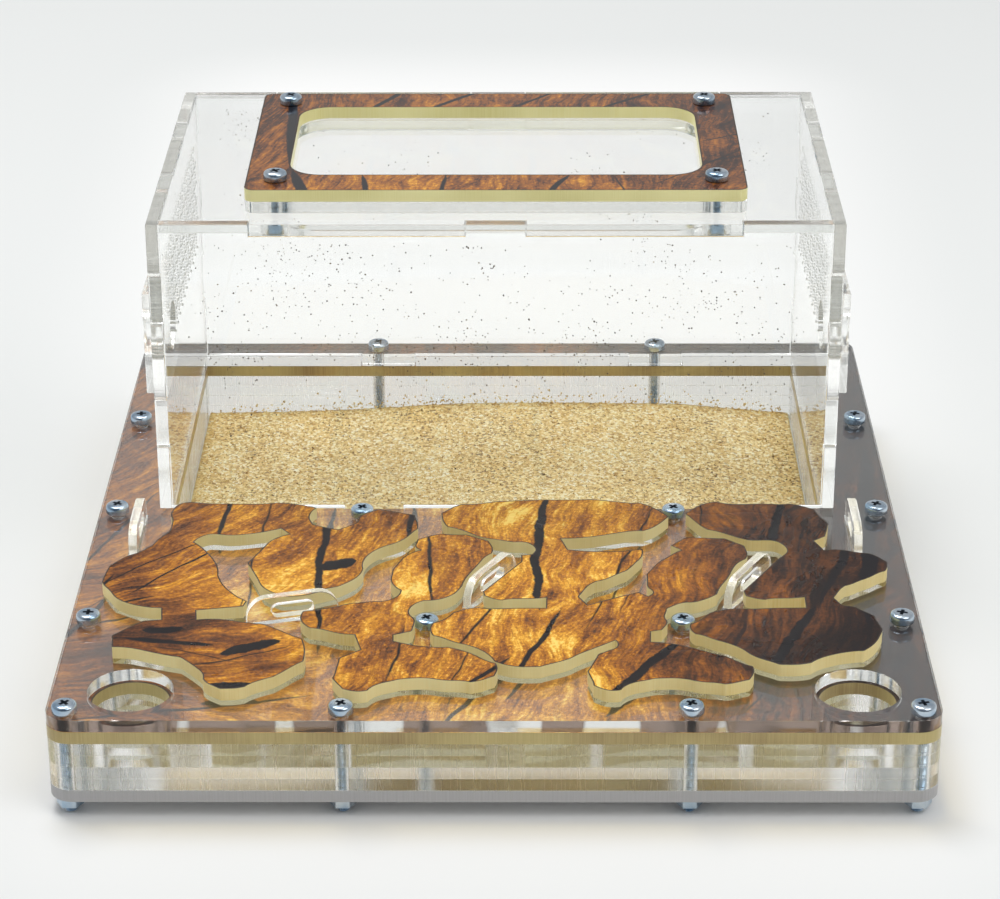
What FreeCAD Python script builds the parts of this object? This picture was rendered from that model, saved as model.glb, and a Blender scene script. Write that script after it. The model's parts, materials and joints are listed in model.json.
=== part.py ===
import FreeCAD, Part
import math
import os

import Sketcher

# Ant habitat: a nest of bolted acrylic sheets with chambers cut into them, and a clear arena with a
# lift-off lid on top of its rear half.  Millimetres, +Z up.  The origin is on the table, below the
# middle of the nest; the nest's long side runs along Y and the chambers are at the front (-Y).

Vector = FreeCAD.Vector
DOC = FreeCAD.newDocument("AntHabitat")
UP = Vector(0, 0, 1)

# ---------------------------------------------------------------------------------------------
# Driving dimensions
# ---------------------------------------------------------------------------------------------
DIMENSIONS = [
    # nest stack
    ("nest_width", 200.0),
    ("nest_depth", 215.0),
    ("nest_corner", 5.5),
    ("stack_sheet", 3.0),
    ("front_field", 106.5),         # nest in front of the arena
    ("rear_margin", 7.5),           # nest behind the arena
    ("side_margin", 15.0),          # nest on each side of the arena
    # clamping screws and nuts, M3
    ("screw_diameter", 3.0),
    ("hole_clearance", 0.1),        # radial
    ("head_diameter", 5.8),
    ("head_height", 2.4),
    ("head_rim", 0.9),
    ("nut_flats", 5.5),
    ("nut_height", 2.4),
    ("screw_end", 1.6),             # thread that stands out of the nut
    ("screw_inset_x", 4.5),
    ("screw_inset_y", 4.0),
    ("rear_screw_pitch", 51.5),
    # ports in the front corners
    ("port_bore", 19.4),
    ("port_well", 17.5),
    # slide gates and the passages that they close
    ("gate_length", 22.0),
    ("gate_thickness", 2.2),
    ("gate_grip", 6.7),             # height above the cover when closed
    ("gate_corner", 5.0),
    ("gate_clearance", 0.15),
    ("finger_slot_length", 10.0),
    ("finger_slot_height", 3.0),
    ("finger_slot_drop", 3.8),      # from the gate's top to the slot's middle
    ("passage_width", 10.0),
    ("passage_reach", 9.0),         # to each side of a gate
    # shade plates
    ("shade_sheet", 3.0),
    # arena
    ("arena_height", 76.5),
    ("arena_sheet", 3.0),
    ("tab_clearance", 0.1),
    ("roof_tab_start", 7.4),        # from the middle of the front and rear walls
    ("roof_tab_end", 60.0),
    ("side_tab_width", 12.0),
    ("side_tab_front", 25.0),       # from the arena's front face
    ("side_tab_rear", 64.0),
    ("corner_tab_width", 13.0),
    ("corner_tab_low", 17.0),       # above the cover
    ("corner_tab_high", 50.0),
    ("foot_tab_width", 15.0),
    ("foot_tab_left", -31.0),
    ("foot_tab_right", 44.0),
    # tube plates on the arena's sides
    ("tube_plate", 27.0),
    ("tube_plate_height", 27.6),    # of its lower edge above the cover
    ("tube_plate_front", 9.5),      # of its front edge from the arena's front face
    ("tube_bore", 12.0),
    # sand bed
    ("sand_edge", 0.9),             # depth along the side walls
    ("sand_toe", 1.4),              # depth where the heap begins
    ("sand_top", 4.1),              # depth at the heap's top
    ("sand_toe_place", -58.0),      # from the middle of the bed
    ("sand_top_place", 17.0),
    ("sand_clearance", 0.3),
    # lid
    ("lid_side_bar", 10.25),        # width of the ring beside the window
    ("lid_cross_bar", 11.05),       # width of the ring before and behind the window
    ("lid_sheet", 3.0),
    ("lid_corner", 2.5),
    ("lid_offset", -5.8),           # of its middle from the arena's middle
    ("window_length", 102.5),
    ("window_depth", 51.5),
    ("window_corner", 8.0),
    ("feed_margin", 1.0),           # roof opening beyond the window
    ("lid_screw_inset_x", 7.25),
    ("lid_screw_inset_y", 7.6),
    ("lid_screw_end", 1.6),
    ("nut_seat", 7.0),              # bore in the roof that takes a lid nut
]

SHEET = DOC.addObject("Spreadsheet::Sheet", "Sizes")
for row, (alias, number) in enumerate(DIMENSIONS, start=1):
    SHEET.set("A%d" % row, alias)
    SHEET.set("B%d" % row, str(number))
    SHEET.setAlias("B%d" % row, alias)
DOC.recompute()


def value(expression):
    """The number, in millimetres, that an expression of the sheet's sizes gives."""
    return float(SHEET.evalExpression(expression))


# ---------------------------------------------------------------------------------------------
# Levels and edges, as expressions of the sheet
# ---------------------------------------------------------------------------------------------
def level(sheets):
    """Height of the top of this many stacked sheets."""
    return "(Sizes.nut_height + Sizes.screw_end + %d * Sizes.stack_sheet)" % sheets


STACK_SHEETS = 7
GATE_SHEETS = 4                     # a gate reaches down through the four upper sheets
PASSAGE_FLOOR = level(STACK_SHEETS - GATE_SHEETS)
COVER_TOP = level(STACK_SHEETS)
ARENA_TOP = "(%s + Sizes.arena_height)" % COVER_TOP
LID_TOP = "(%s + 2 * Sizes.lid_sheet)" % ARENA_TOP

ARENA_FRONT = "(Sizes.front_field - Sizes.nest_depth / 2)"
ARENA_REAR = "(Sizes.nest_depth / 2 - Sizes.rear_margin)"
ARENA_SIDE = "(Sizes.nest_width / 2 - Sizes.side_margin)"
RECESS_FRONT = "(%s + Sizes.arena_sheet)" % ARENA_FRONT
RECESS_REAR = "(%s - Sizes.arena_sheet)" % ARENA_REAR
RECESS_SIDE = "(%s - Sizes.arena_sheet)" % ARENA_SIDE
LID_MIDDLE = "((%s + %s) / 2 + Sizes.lid_offset)" % (ARENA_FRONT, ARENA_REAR)
LID_HALF_LENGTH = "(Sizes.window_length / 2 + Sizes.lid_side_bar)"
LID_HALF_DEPTH = "(Sizes.window_depth / 2 + Sizes.lid_cross_bar)"


# ---------------------------------------------------------------------------------------------
# Plan of the nest: the chambers, gates and screws in front of the arena are drawn for a screw
# field of this size and stretch with the field between the screws and the arena
# ---------------------------------------------------------------------------------------------
PLAN_HALF_WIDTH = 95.5
PLAN_REAR = -1.0
PLAN_FRONT = -103.5


def plan_point(x, y):
    """Place in the nest of a point of the plan."""
    screw_side = value("Sizes.nest_width / 2 - Sizes.screw_inset_x")
    screw_front = value("Sizes.screw_inset_y - Sizes.nest_depth / 2")
    arena_front = value(ARENA_FRONT)
    stretch_y = (screw_front - arena_front) / (PLAN_FRONT - PLAN_REAR)
    return Vector(x * screw_side / PLAN_HALF_WIDTH, arena_front + (y - PLAN_REAR) * stretch_y, 0)


# Each chamber is a ring of runs from one sharp corner to the next.  A run starts where the one before
# it ends; a run with one point of its own is straight, one with more curves smoothly through them.
CHAMBERS = {
    "left": [
        [(-79.5, -4.5), (-62, -4.5), (-49, -5), (-45, -6.8)],
        [(-46.2, -13.5)],
        [(-43, -17.2), (-35.5, -16), (-33, -10.2), (-25, -9), (-19.4, -15.5), (-21, -21.5), (-30.5, -32),
         (-34.7, -46.6), (-41, -50.8), (-50.7, -53.5)],
        [(-57.2, -44.5), (-57, -29.5), (-50.9, -21.3)],
        [(-53.1, -18.3)],
        [(-60, -20.8), (-70.6, -21.6)],
        [(-73.9, -25.7)],
        [(-69, -33.5), (-62.6, -52), (-58.5, -56.6)],
        [(-59.2, -59.3)],
        [(-70, -61.2)],
        [(-69.5, -65.8)],
        [(-59.3, -66.8), (-49.2, -71.4), (-43.3, -80.5), (-47, -89.9), (-53.6, -95.4), (-58.5, -98.4),
         (-63.4, -96.8), (-66.7, -89.9), (-78.7, -81.5), (-87.7, -79.1)],
        [(-84.8, -69.5), (-77.8, -65.8)],
        [(-78.4, -60.1)],
        [(-86, -57.1), (-92.1, -50.2), (-93.6, -42), (-91, -35.1), (-85.5, -29.5), (-83, -24.2)],
        [(-80.4, -15), (-81, -8.5), (-79.5, -4.5)],
    ],
    "centre_left": [
        [(-19.7, -27.6), (-16.2, -22.3), (-10.5, -21.6), (-4.5, -23.3), (-0.9, -28), (-3.3, -35.5),
         (-7, -45), (-9, -51.8), (-20.1, -62), (-18.6, -67), (-23.3, -73.3)],
        [(-23.2, -76.2)],
        [(-20.5, -77.4), (-3.2, -84), (0.7, -90.3), (-2, -94.1), (-9, -94.8), (-18.4, -93.7),
         (-24.4, -95.6), (-32, -99.4), (-35, -96.5), (-35.9, -90.3), (-30.7, -80.3)],
        [(-32.4, -73.2)],
        [(-39.3, -71), (-44.8, -67.3), (-36.5, -58.8), (-30, -56.9), (-24.6, -55.6), (-25, -44),
         (-23.6, -37.2), (-18.4, -30)],
        [(-19.7, -27.6)],
    ],
    "centre": [
        [(9.6, -30.5), (7.2, -25.9)],
        [(1, -24.7), (-7.6, -19.9), (-13.4, -13.2), (-11.6, -7.1), (-4.1, -4.2), (5.9, -2.5), (16, -2.1),
         (31.6, -3.5), (39, -6.2), (39.3, -17.2), (31.8, -20.2), (16, -23.9)],
        [(17.6, -29.7)],
        [(26, -30.5), (35.7, -29.4)],
        [(33.8, -37), (27.9, -44.2), (21.6, -49.9), (21.8, -58.5)],
        [(28.4, -54.8), (33.9, -52)],
        [(36.2, -54)],
        [(37.4, -52.2)],
        [(36.2, -46.3), (37.9, -39.3), (41.6, -33.8), (45.1, -30)],
        [(42.7, -27.6)],
        [(52.6, -23.5), (58.5, -25.9), (61.1, -31), (57.7, -38.5), (54.5, -47.3), (48.2, -56.6),
         (42.8, -58.3), (39.8, -63.5), (39.9, -68.4), (36.2, -71.6)],
        [(36, -76.5)],
        [(49.3, -81.6), (54.8, -85.2), (58.4, -92), (55, -95.4), (48.5, -95.6), (39.6, -93.6),
         (32.8, -95.1), (24.5, -98.7), (21.9, -94), (22.3, -87), (27.7, -79.5)],
        [(27.8, -75.9)],
        [(20.7, -81.4), (13.8, -86.6), (7, -88.5), (-5.6, -78.6), (-10.9, -75.6), (-15, -70.5),
         (-11.4, -65), (-7.5, -60.8), (0, -60.3), (12, -60)],
        [(12.1, -54.9)],
        [(4.7, -55.5), (-0.7, -55.3), (-2.9, -51.7)],
        [(6.2, -36.1)],
        [(6.2, -32.6)],
        [(7.1, -32.6), (9.6, -30.5)],
    ],
    "right": [
        [(68.8, -25.5), (55.7, -20.7), (50, -15.8), (51, -5.2), (61, -4.6), (70, -4.6), (76.5, -5.6),
         (80.6, -11.6), (81.6, -19), (77.9, -25)],
        [(79.9, -30)],
        [(87.4, -31), (93.1, -34.2), (94.4, -38.6), (91, -43), (85.8, -47.2), (81.6, -51.3),
         (81.6, -58.5)],
        [(86, -61.1), (89.2, -67.7), (88.8, -74), (75.3, -83.7), (68.2, -87.4), (61.6, -85.2),
         (55, -78.3), (49, -74.2), (45.4, -70.6), (48.1, -65.5), (53.6, -60.9), (60, -60.4), (73, -59.8)],
        [(73.1, -54.6)],
        [(66.1, -55.3), (61.6, -55.3), (58.9, -51.4)],
        [(68.5, -34.6)],
        [(70.9, -30.5)],
        [(68.8, -25.5)],
    ],
}

# Middle of each gate in the plan, and the direction of its length in degrees from +X
NEST_GATES = {
    "gate_left_nest": (-47.6, -59.5, 15.5),
    "gate_middle_nest": (-1.3, -44.8, 60.5),
    "gate_right_nest": (60.4, -44.8, 60.5),
}
EXIT_GATES = {
    "gate_left_exit": (-88.9, -15.8, 90),
    "gate_right_exit": (88.6, -15.8, 90),
}
GATES = {**NEST_GATES, **EXIT_GATES}
PORT_PLACES = [(-82, -93.7), (82, -93.7)]
FRONT_SCREWS = [(-95.5, -103.5), (-34, -103.5), (44, -103.5), (95.5, -103.5),
                (-95.5, -60.8), (-16, -63.2), (44, -63.2), (95.5, -60.8),
                (-95.5, -2.8), (-33.7, -4.6), (44.4, -4.6), (95.5, -2.8)]
REAR_SCREW_COLUMNS = [-95.5, -34, 44, 95.5]
ARENA_DOOR_X = 20


def screw_places():
    """Middles of the eighteen clamping screws."""
    places = [plan_point(x, y) for x, y in FRONT_SCREWS]
    rear_row = value("Sizes.nest_depth / 2 - Sizes.screw_inset_y")
    for x in REAR_SCREW_COLUMNS:
        places.append(Vector(plan_point(x, 0).x, rear_row, 0))
    for x in (REAR_SCREW_COLUMNS[0], REAR_SCREW_COLUMNS[-1]):
        places.append(Vector(plan_point(x, 0).x, rear_row - value("Sizes.rear_screw_pitch"), 0))
    return places


# ---------------------------------------------------------------------------------------------
# Sketching
# ---------------------------------------------------------------------------------------------
STRAIGHT = 0.01                     # radians: an arc that would bend less is drawn as a line
PARALLEL = 1e-6                     # two unit vectors that differ less point the same way


def new_body(label, **place):
    """A body whose place along x, y or z is bound to the sheet."""
    body = DOC.addObject("PartDesign::Body", label)
    for axis, expression in place.items():
        body.setExpression(".Placement.Base." + axis, expression)
    return body


def sketch_on(body, name, plane="XY_Plane"):
    sketch = body.newObject("Sketcher::SketchObject", body.Name + "_" + name)
    support = [feature for feature in body.Origin.OriginFeatures if feature.Role == plane][0]
    sketch.AttachmentSupport = [(support, "")]
    sketch.MapMode = "FlatFace"
    return sketch


def close_ring(sketch, pieces):
    """Join each piece of a ring to the next one where their ends meet."""
    for piece, following in zip(pieces, pieces[1:] + pieces[:1]):
        gap, end, start = min((sketch.getPoint(piece, end).distanceToPoint(sketch.getPoint(following, start)),
                               end, start) for end in (1, 2) for start in (1, 2))
        sketch.addConstraint(Sketcher.Constraint("Coincident", piece, end, following, start))


def draw_polygon(sketch, points):
    lines = []
    for start, end in zip(points, points[1:] + points[:1]):
        lines.append(sketch.addGeometry(Part.LineSegment(start, end)))
    close_ring(sketch, lines)
    return lines


def draw_rectangle(sketch, left, right, low, high):
    """Rectangle whose four sides are bound to expressions of the sheet."""
    corners = [Vector(value(x), value(y), 0)
               for x, y in ((left, low), (right, low), (right, high), (left, high))]
    bottom, right_side, top, left_side = draw_polygon(sketch, corners)
    for line in (bottom, top):
        sketch.addConstraint(Sketcher.Constraint("Horizontal", line))
    for line in (right_side, left_side):
        sketch.addConstraint(Sketcher.Constraint("Vertical", line))
    for direction, line, expression in (("DistanceX", left_side, left), ("DistanceX", right_side, right),
                                        ("DistanceY", bottom, low), ("DistanceY", top, high)):
        bound = sketch.addConstraint(Sketcher.Constraint(direction, -1, 1, line, 1, value(expression)))
        sketch.setExpression("Constraints[%d]" % bound, expression)


def draw_circles(sketch, places, diameter):
    """Equal circles; the first one's diameter is bound to the sheet."""
    circles = [sketch.addGeometry(Part.Circle(place, UP, value(diameter) / 2)) for place in places]
    bound = sketch.addConstraint(Sketcher.Constraint("Diameter", circles[0], value(diameter)))
    sketch.setExpression("Constraints[%d]" % bound, diameter)
    for circle in circles[1:]:
        sketch.addConstraint(Sketcher.Constraint("Equal", circles[0], circle))


def draw_arc(sketch, centre, radius, start, end):
    """Arc from one angle to another, anticlockwise, in degrees."""
    circle = Part.Circle(centre, UP, radius)
    return sketch.addGeometry(Part.ArcOfCircle(circle, math.radians(start), math.radians(end)))


def arc_from(start, direction, end):
    """Circular arc that leaves its start in a direction, or a line where that points at its end."""
    chord = end - start
    towards = Vector(chord).normalize()
    if direction.getAngle(towards) < STRAIGHT:
        return Part.LineSegment(start, end)
    half_way = (towards + direction).normalize()
    return Part.Arc(start, start + half_way * (chord.Length / 2 / half_way.dot(towards)), end)


def smooth_run(points):
    """Tangent arcs through the points: two between each pair, which meet half-way."""
    steps = [end - start for start, end in zip(points, points[1:])]
    directions = [(a / a.dot(a) + b / b.dot(b)).normalize() for a, b in zip(steps, steps[1:])]
    for step, at_start in ((steps[0], True), (steps[-1], False)):
        unit = Vector(step).normalize()
        neighbour = directions[0] if at_start else directions[-1]
        mirrored = unit * (2 * unit.dot(neighbour)) - neighbour
        directions.insert(0 if at_start else len(directions), mirrored)
    arcs = []
    for start, end, leaving, arriving in zip(points, points[1:], directions, directions[1:]):
        step = end - start
        bend = 2 * (1 - leaving.dot(arriving))
        slide = step.dot(leaving + arriving)
        if bend < PARALLEL:
            reach = step.dot(step) / (2 * slide)
        else:
            reach = (math.sqrt(slide ** 2 + 2 * bend * step.dot(step)) - slide) / bend
        meeting = (start + end + (leaving - arriving) * reach) / 2
        arcs += [arc_from(start, leaving, meeting), arc_from(end, -arriving, meeting)]
    return arcs


def draw_chamber(sketch, runs, curved=True):
    """A chamber's outline; the clear sheets below have straight cuts between the same points."""
    pieces = []
    last = plan_point(*runs[0][0])
    for number, run in enumerate(runs):
        through = [last] + [plan_point(*point) for point in (run[1:] if number == 0 else run)]
        last = through[-1]
        if curved and len(through) > 2:
            pieces += smooth_run(through)
        else:
            pieces += [Part.LineSegment(start, end) for start, end in zip(through, through[1:])]
    for piece in pieces:
        sketch.addGeometry(piece)


def draw_bar(sketch, middle, angle, length, width):
    """Rectangle about a middle, its length along the angle."""
    turn = FreeCAD.Rotation(UP, angle)
    corners = [(-1, -1), (1, -1), (1, 1), (-1, 1)]
    draw_polygon(sketch, [middle + turn.multVec(Vector(x * length / 2, y * width / 2, 0))
                          for x, y in corners])


def tabbed_outline(left, right, low, high, tabs):
    """Corners of a rectangle whose sides have tabs (depth over 0) and notches (depth under 0).

    tabs maps bottom, right, top or left to (start, end, depth), all along +X or +Y.
    """
    sides = (("bottom", "x", low, left, Vector(0, -1, 0), 1),
             ("right", "y", right, low, Vector(1, 0, 0), 1),
             ("top", "x", high, right, Vector(0, 1, 0), -1),
             ("left", "y", left, high, Vector(-1, 0, 0), -1))
    points = []
    for side, along, edge, corner, outward, direction in sides:
        def on_edge(place):
            return Vector(place, edge, 0) if along == "x" else Vector(edge, place, 0)
        points.append(on_edge(corner))
        for start, end, depth in sorted(tabs.get(side, []), reverse=direction < 0):
            first, second = (start, end) if direction > 0 else (end, start)
            points += [on_edge(first), on_edge(first) + outward * depth,
                       on_edge(second) + outward * depth, on_edge(second)]
    return points


# ---------------------------------------------------------------------------------------------
# Features
# ---------------------------------------------------------------------------------------------
def pad(body, sketch, thickness, midplane=False):
    feature = body.newObject("PartDesign::Pad", sketch.Name + "_pad")
    feature.Profile = sketch
    feature.Midplane = midplane
    feature.setExpression("Length", thickness)
    sketch.Visibility = False
    return feature


def cut_through(body, sketch):
    """Cut a sketch's rings through the whole sheet, to both sides of the sketch."""
    feature = body.newObject("PartDesign::Pocket", sketch.Name + "_cut")
    feature.Profile = sketch
    feature.Type = "ThroughAll"
    feature.Midplane = True
    sketch.Visibility = False
    return feature


def round_corners(body, base, radius):
    """Round a sheet's upright outer edges."""
    DOC.recompute()
    upright = [edge_name for edge_name, edge in
               (("Edge%d" % number, edge) for number, edge in enumerate(base.Shape.Edges, start=1))
               if edge.tangentAt(edge.FirstParameter).isParallel(UP, STRAIGHT)]
    fillet = body.newObject("PartDesign::Fillet", body.Name + "_corners")
    fillet.Base = (base, upright)
    fillet.setExpression("Radius", radius)


def placed_copies(label, pattern, places, z):
    """Identical fasteners as one node: the pattern piece's solid at each place."""
    DOC.recompute()
    height = value(z)
    solids = []
    for place in places:
        solid = pattern.Shape.copy()
        solid.translate(Vector(place.x, place.y, height))
        solids.append(solid)
    group = DOC.addObject("Part::Feature", label)
    group.Shape = Part.makeCompound(solids)
    return group


# ---------------------------------------------------------------------------------------------
# Nest stack
# ---------------------------------------------------------------------------------------------
def stack_sheet(label, number):
    """One sheet of the stack, with its screw holes and, above the base, the arena's recess."""
    body = new_body(label, z=level(number))
    outline = sketch_on(body, "outline")
    draw_rectangle(outline, "-Sizes.nest_width / 2", "Sizes.nest_width / 2",
                   "-Sizes.nest_depth / 2", "Sizes.nest_depth / 2")
    slab = pad(body, outline, "Sizes.stack_sheet")
    round_corners(body, slab, "Sizes.nest_corner")
    holes = sketch_on(body, "screw_holes")
    draw_circles(holes, screw_places(), "Sizes.screw_diameter + 2 * Sizes.hole_clearance")
    cut_through(body, holes)
    if number > 0:
        recess = sketch_on(body, "recess")
        draw_rectangle(recess, "-" + RECESS_SIDE, RECESS_SIDE, RECESS_FRONT, RECESS_REAR)
        cut_through(body, recess)
    return body


def cut_ports(body, diameter):
    ports = sketch_on(body, "ports")
    draw_circles(ports, [plan_point(x, y) for x, y in PORT_PLACES], diameter)
    cut_through(body, ports)


def cut_gate_slots(body):
    length = value("Sizes.gate_length + 2 * Sizes.gate_clearance")
    width = value("Sizes.gate_thickness + 2 * Sizes.gate_clearance")
    slots = sketch_on(body, "gate_slots")
    for x, y, angle in GATES.values():
        draw_bar(slots, plan_point(x, y), angle, length, width)
    cut_through(body, slots)


def cut_chambers(body, curved):
    for name, runs in CHAMBERS.items():
        chamber = sketch_on(body, name + "_chamber")
        draw_chamber(chamber, runs, curved)
        cut_through(body, chamber)


def cut_passages(body, gate_places, to_side=False):
    """Passages across the gates; to_side ones run from the chamber out through the nest's side."""
    reach = value("Sizes.passage_reach")
    edge = value("Sizes.nest_width / 2")
    passages = sketch_on(body, "passages")
    for x, y, angle in gate_places:
        middle = plan_point(x, y)
        length = 2 * reach
        if to_side:
            inner = abs(middle.x) - reach
            middle = Vector(math.copysign((edge + inner) / 2, middle.x), middle.y, 0)
            length = edge - inner
        draw_bar(passages, middle, angle + 90, length, value("Sizes.passage_width"))
    cut_through(body, passages)


def cut_arena_door(body):
    """Way from the centre chamber into the recess under the arena."""
    door = sketch_on(body, "arena_door")
    middle = Vector(plan_point(ARENA_DOOR_X, 0).x, value(RECESS_FRONT), 0)
    draw_bar(door, middle, 90, value("2 * Sizes.passage_reach"), value("Sizes.passage_width"))
    cut_through(body, door)


def foot_tabs(outward_depth, clearance=0.0):
    """Tabs of the front and rear walls' lower edges, or the notches that take them."""
    half = value("Sizes.foot_tab_width") / 2 + clearance
    return [(value(middle) - half, value(middle) + half, outward_depth)
            for middle in ("Sizes.foot_tab_left", "Sizes.foot_tab_right")]


def side_tabs(outward_depth, clearance=0.0, origin=ARENA_FRONT):
    """Tabs along a side wall's length, or the notches that take them."""
    width = value("Sizes.side_tab_width")
    start = value(origin)
    return [(start + value(front) - clearance, start + value(front) + width + clearance, outward_depth)
            for front in ("Sizes.side_tab_front", "Sizes.side_tab_rear")]


def cut_wall_seats(body):
    """The cover's recess grows by a notch for each tab under the arena's walls."""
    sheet = value("Sizes.arena_sheet")
    clearance = value("Sizes.tab_clearance")
    outline = tabbed_outline(-value(RECESS_SIDE), value(RECESS_SIDE), value(RECESS_FRONT), value(RECESS_REAR),
                             {"bottom": foot_tabs(sheet, clearance), "top": foot_tabs(sheet, clearance),
                              "left": side_tabs(sheet, clearance), "right": side_tabs(sheet, clearance)})
    seats = sketch_on(body, "wall_seats")
    draw_polygon(seats, outline)
    cut_through(body, seats)


base_sheet = stack_sheet("base_sheet", 0)
nest_sheet_1 = stack_sheet("nest_sheet_1", 1)
nest_sheet_2 = stack_sheet("nest_sheet_2", 2)
nest_sheet_3 = stack_sheet("nest_sheet_3", 3)
nest_sheet_4 = stack_sheet("nest_sheet_4", 4)
for clear_sheet in (nest_sheet_3, nest_sheet_4):
    cut_ports(clear_sheet, "Sizes.port_well")
    cut_gate_slots(clear_sheet)
    cut_chambers(clear_sheet, curved=False)
    cut_arena_door(clear_sheet)
# The exits run one sheet below the passages between the chambers, so that each sheet stays in one piece
cut_passages(nest_sheet_3, EXIT_GATES.values(), to_side=True)
cut_passages(nest_sheet_4, NEST_GATES.values())

decor_sheet = stack_sheet("decor_sheet", 5)
cut_ports(decor_sheet, "Sizes.port_well")
cut_gate_slots(decor_sheet)
cut_chambers(decor_sheet, curved=True)

cover_sheet = stack_sheet("cover_sheet", 6)
cut_ports(cover_sheet, "Sizes.port_bore")
cut_gate_slots(cover_sheet)
cut_wall_seats(cover_sheet)


# ---------------------------------------------------------------------------------------------
# Screws and nuts
# ---------------------------------------------------------------------------------------------
def pan_screw(label, shank_length):
    """Pan-head screw on the origin's axis, the underside of its head at z = 0."""
    body = new_body(label)
    profile = sketch_on(body, "profile", "XZ_Plane")
    head = value("Sizes.head_diameter") / 2
    height = value("Sizes.head_height")
    rim = value("Sizes.head_rim")
    shank = value("Sizes.screw_diameter") / 2
    length = value(shank_length)
    # the crown is a cap of a ball whose centre is on the screw's axis
    rise = height - rim
    ball = (head ** 2 + rise ** 2) / (2 * rise)
    half_way = math.asin(head / ball) / 2
    dome = Part.Arc(Vector(head, rim, 0),
                    Vector(ball * math.sin(half_way), height - ball + ball * math.cos(half_way), 0),
                    Vector(0, height, 0))
    outline = [Vector(0, height, 0), Vector(0, -length, 0), Vector(shank, -length, 0),
               Vector(shank, 0, 0), Vector(head, 0, 0), Vector(head, rim, 0)]
    pieces = [profile.addGeometry(Part.LineSegment(start, end)) for start, end in zip(outline, outline[1:])]
    pieces.append(profile.addGeometry(dome))
    close_ring(profile, pieces)
    turned = body.newObject("PartDesign::Revolution", body.Name + "_turned")
    turned.Profile = profile
    turned.ReferenceAxis = (profile, ["V_Axis"])
    turned.Angle = 360
    profile.Visibility = False
    return body


def hex_nut(label):
    """Hexagon nut on the origin's axis, standing on z = 0."""
    hexagon = DOC.addObject("Part::Prism", label + "_hexagon")
    hexagon.Polygon = 6
    hexagon.setExpression("Circumradius", "Sizes.nut_flats / sqrt(3)")
    hexagon.setExpression("Height", "Sizes.nut_height")
    bore = DOC.addObject("Part::Cylinder", label + "_bore")
    bore.setExpression("Radius", "Sizes.screw_diameter / 2")
    bore.setExpression("Height", "Sizes.nut_height")
    nut = DOC.addObject("Part::Cut", label)
    nut.Base = hexagon
    nut.Tool = bore
    return nut


def lid_screw_places():
    half_length = value(LID_HALF_LENGTH + " - Sizes.lid_screw_inset_x")
    half_depth = value(LID_HALF_DEPTH + " - Sizes.lid_screw_inset_y")
    middle = value(LID_MIDDLE)
    return [Vector(x * half_length, middle + y * half_depth, 0) for y in (-1, 1) for x in (-1, 1)]


clamp_screw = pan_screw("clamp_screw", COVER_TOP)
lid_screw = pan_screw("lid_screw", "2 * Sizes.lid_sheet + Sizes.nut_height + Sizes.lid_screw_end")
hexagon_nut = hex_nut("hexagon_nut")
clamp_screws = placed_copies("clamp_screws", clamp_screw, screw_places(), COVER_TOP)
clamp_nuts = placed_copies("clamp_nuts", hexagon_nut, screw_places(), "Sizes.screw_end")
lid_screws = placed_copies("lid_screws", lid_screw, lid_screw_places(), LID_TOP)
lid_nuts = placed_copies("lid_nuts", hexagon_nut, lid_screw_places(), ARENA_TOP + " - Sizes.nut_height")


# ---------------------------------------------------------------------------------------------
# Slide gates
# ---------------------------------------------------------------------------------------------
def slide_gate(label, x, y, angle):
    """Gate standing on the passage's floor, its two upper corners rounded, with a finger slot."""
    place = plan_point(x, y)
    body = new_body(label)
    body.Placement = FreeCAD.Placement(place, FreeCAD.Rotation(UP, angle))
    body.setExpression(".Placement.Base.z", PASSAGE_FLOOR)
    half = value("Sizes.gate_length") / 2
    top = GATE_SHEETS * value("Sizes.stack_sheet") + value("Sizes.gate_grip")
    corner = value("Sizes.gate_corner")
    outline = sketch_on(body, "outline", "XZ_Plane")
    inner = half - corner
    shoulder = top - corner
    close_ring(outline, [
        outline.addGeometry(Part.LineSegment(Vector(-half, 0, 0), Vector(half, 0, 0))),
        outline.addGeometry(Part.LineSegment(Vector(half, 0, 0), Vector(half, shoulder, 0))),
        draw_arc(outline, Vector(inner, shoulder, 0), corner, 0, 90),
        outline.addGeometry(Part.LineSegment(Vector(inner, top, 0), Vector(-inner, top, 0))),
        draw_arc(outline, Vector(-inner, shoulder, 0), corner, 90, 180),
        outline.addGeometry(Part.LineSegment(Vector(-half, shoulder, 0), Vector(-half, 0, 0))),
    ])
    pad(body, outline, "Sizes.gate_thickness", midplane=True)
    radius = value("Sizes.finger_slot_height") / 2
    reach = value("Sizes.finger_slot_length") / 2 - radius
    slot_height = top - value("Sizes.finger_slot_drop")
    slot = sketch_on(body, "finger_slot", "XZ_Plane")
    close_ring(slot, [
        slot.addGeometry(Part.LineSegment(Vector(-reach, slot_height - radius, 0),
                                          Vector(reach, slot_height - radius, 0))),
        draw_arc(slot, Vector(reach, slot_height, 0), radius, -90, 90),
        slot.addGeometry(Part.LineSegment(Vector(reach, slot_height + radius, 0),
                                          Vector(-reach, slot_height + radius, 0))),
        draw_arc(slot, Vector(-reach, slot_height, 0), radius, 90, 270),
    ])
    cut_through(body, slot)
    return body


gates = [slide_gate(label, *place) for label, place in GATES.items()]


# ---------------------------------------------------------------------------------------------
# Shade plates: what the laser cut out of the printed sheet, laid on the cover above its chamber
# ---------------------------------------------------------------------------------------------
def shade_plate(chamber_name):
    body = new_body("shade_" + chamber_name, z=COVER_TOP)
    outline = sketch_on(body, "outline")
    draw_chamber(outline, CHAMBERS[chamber_name])
    pad(body, outline, "Sizes.shade_sheet")
    return body


shades = [shade_plate(name) for name in CHAMBERS]


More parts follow.
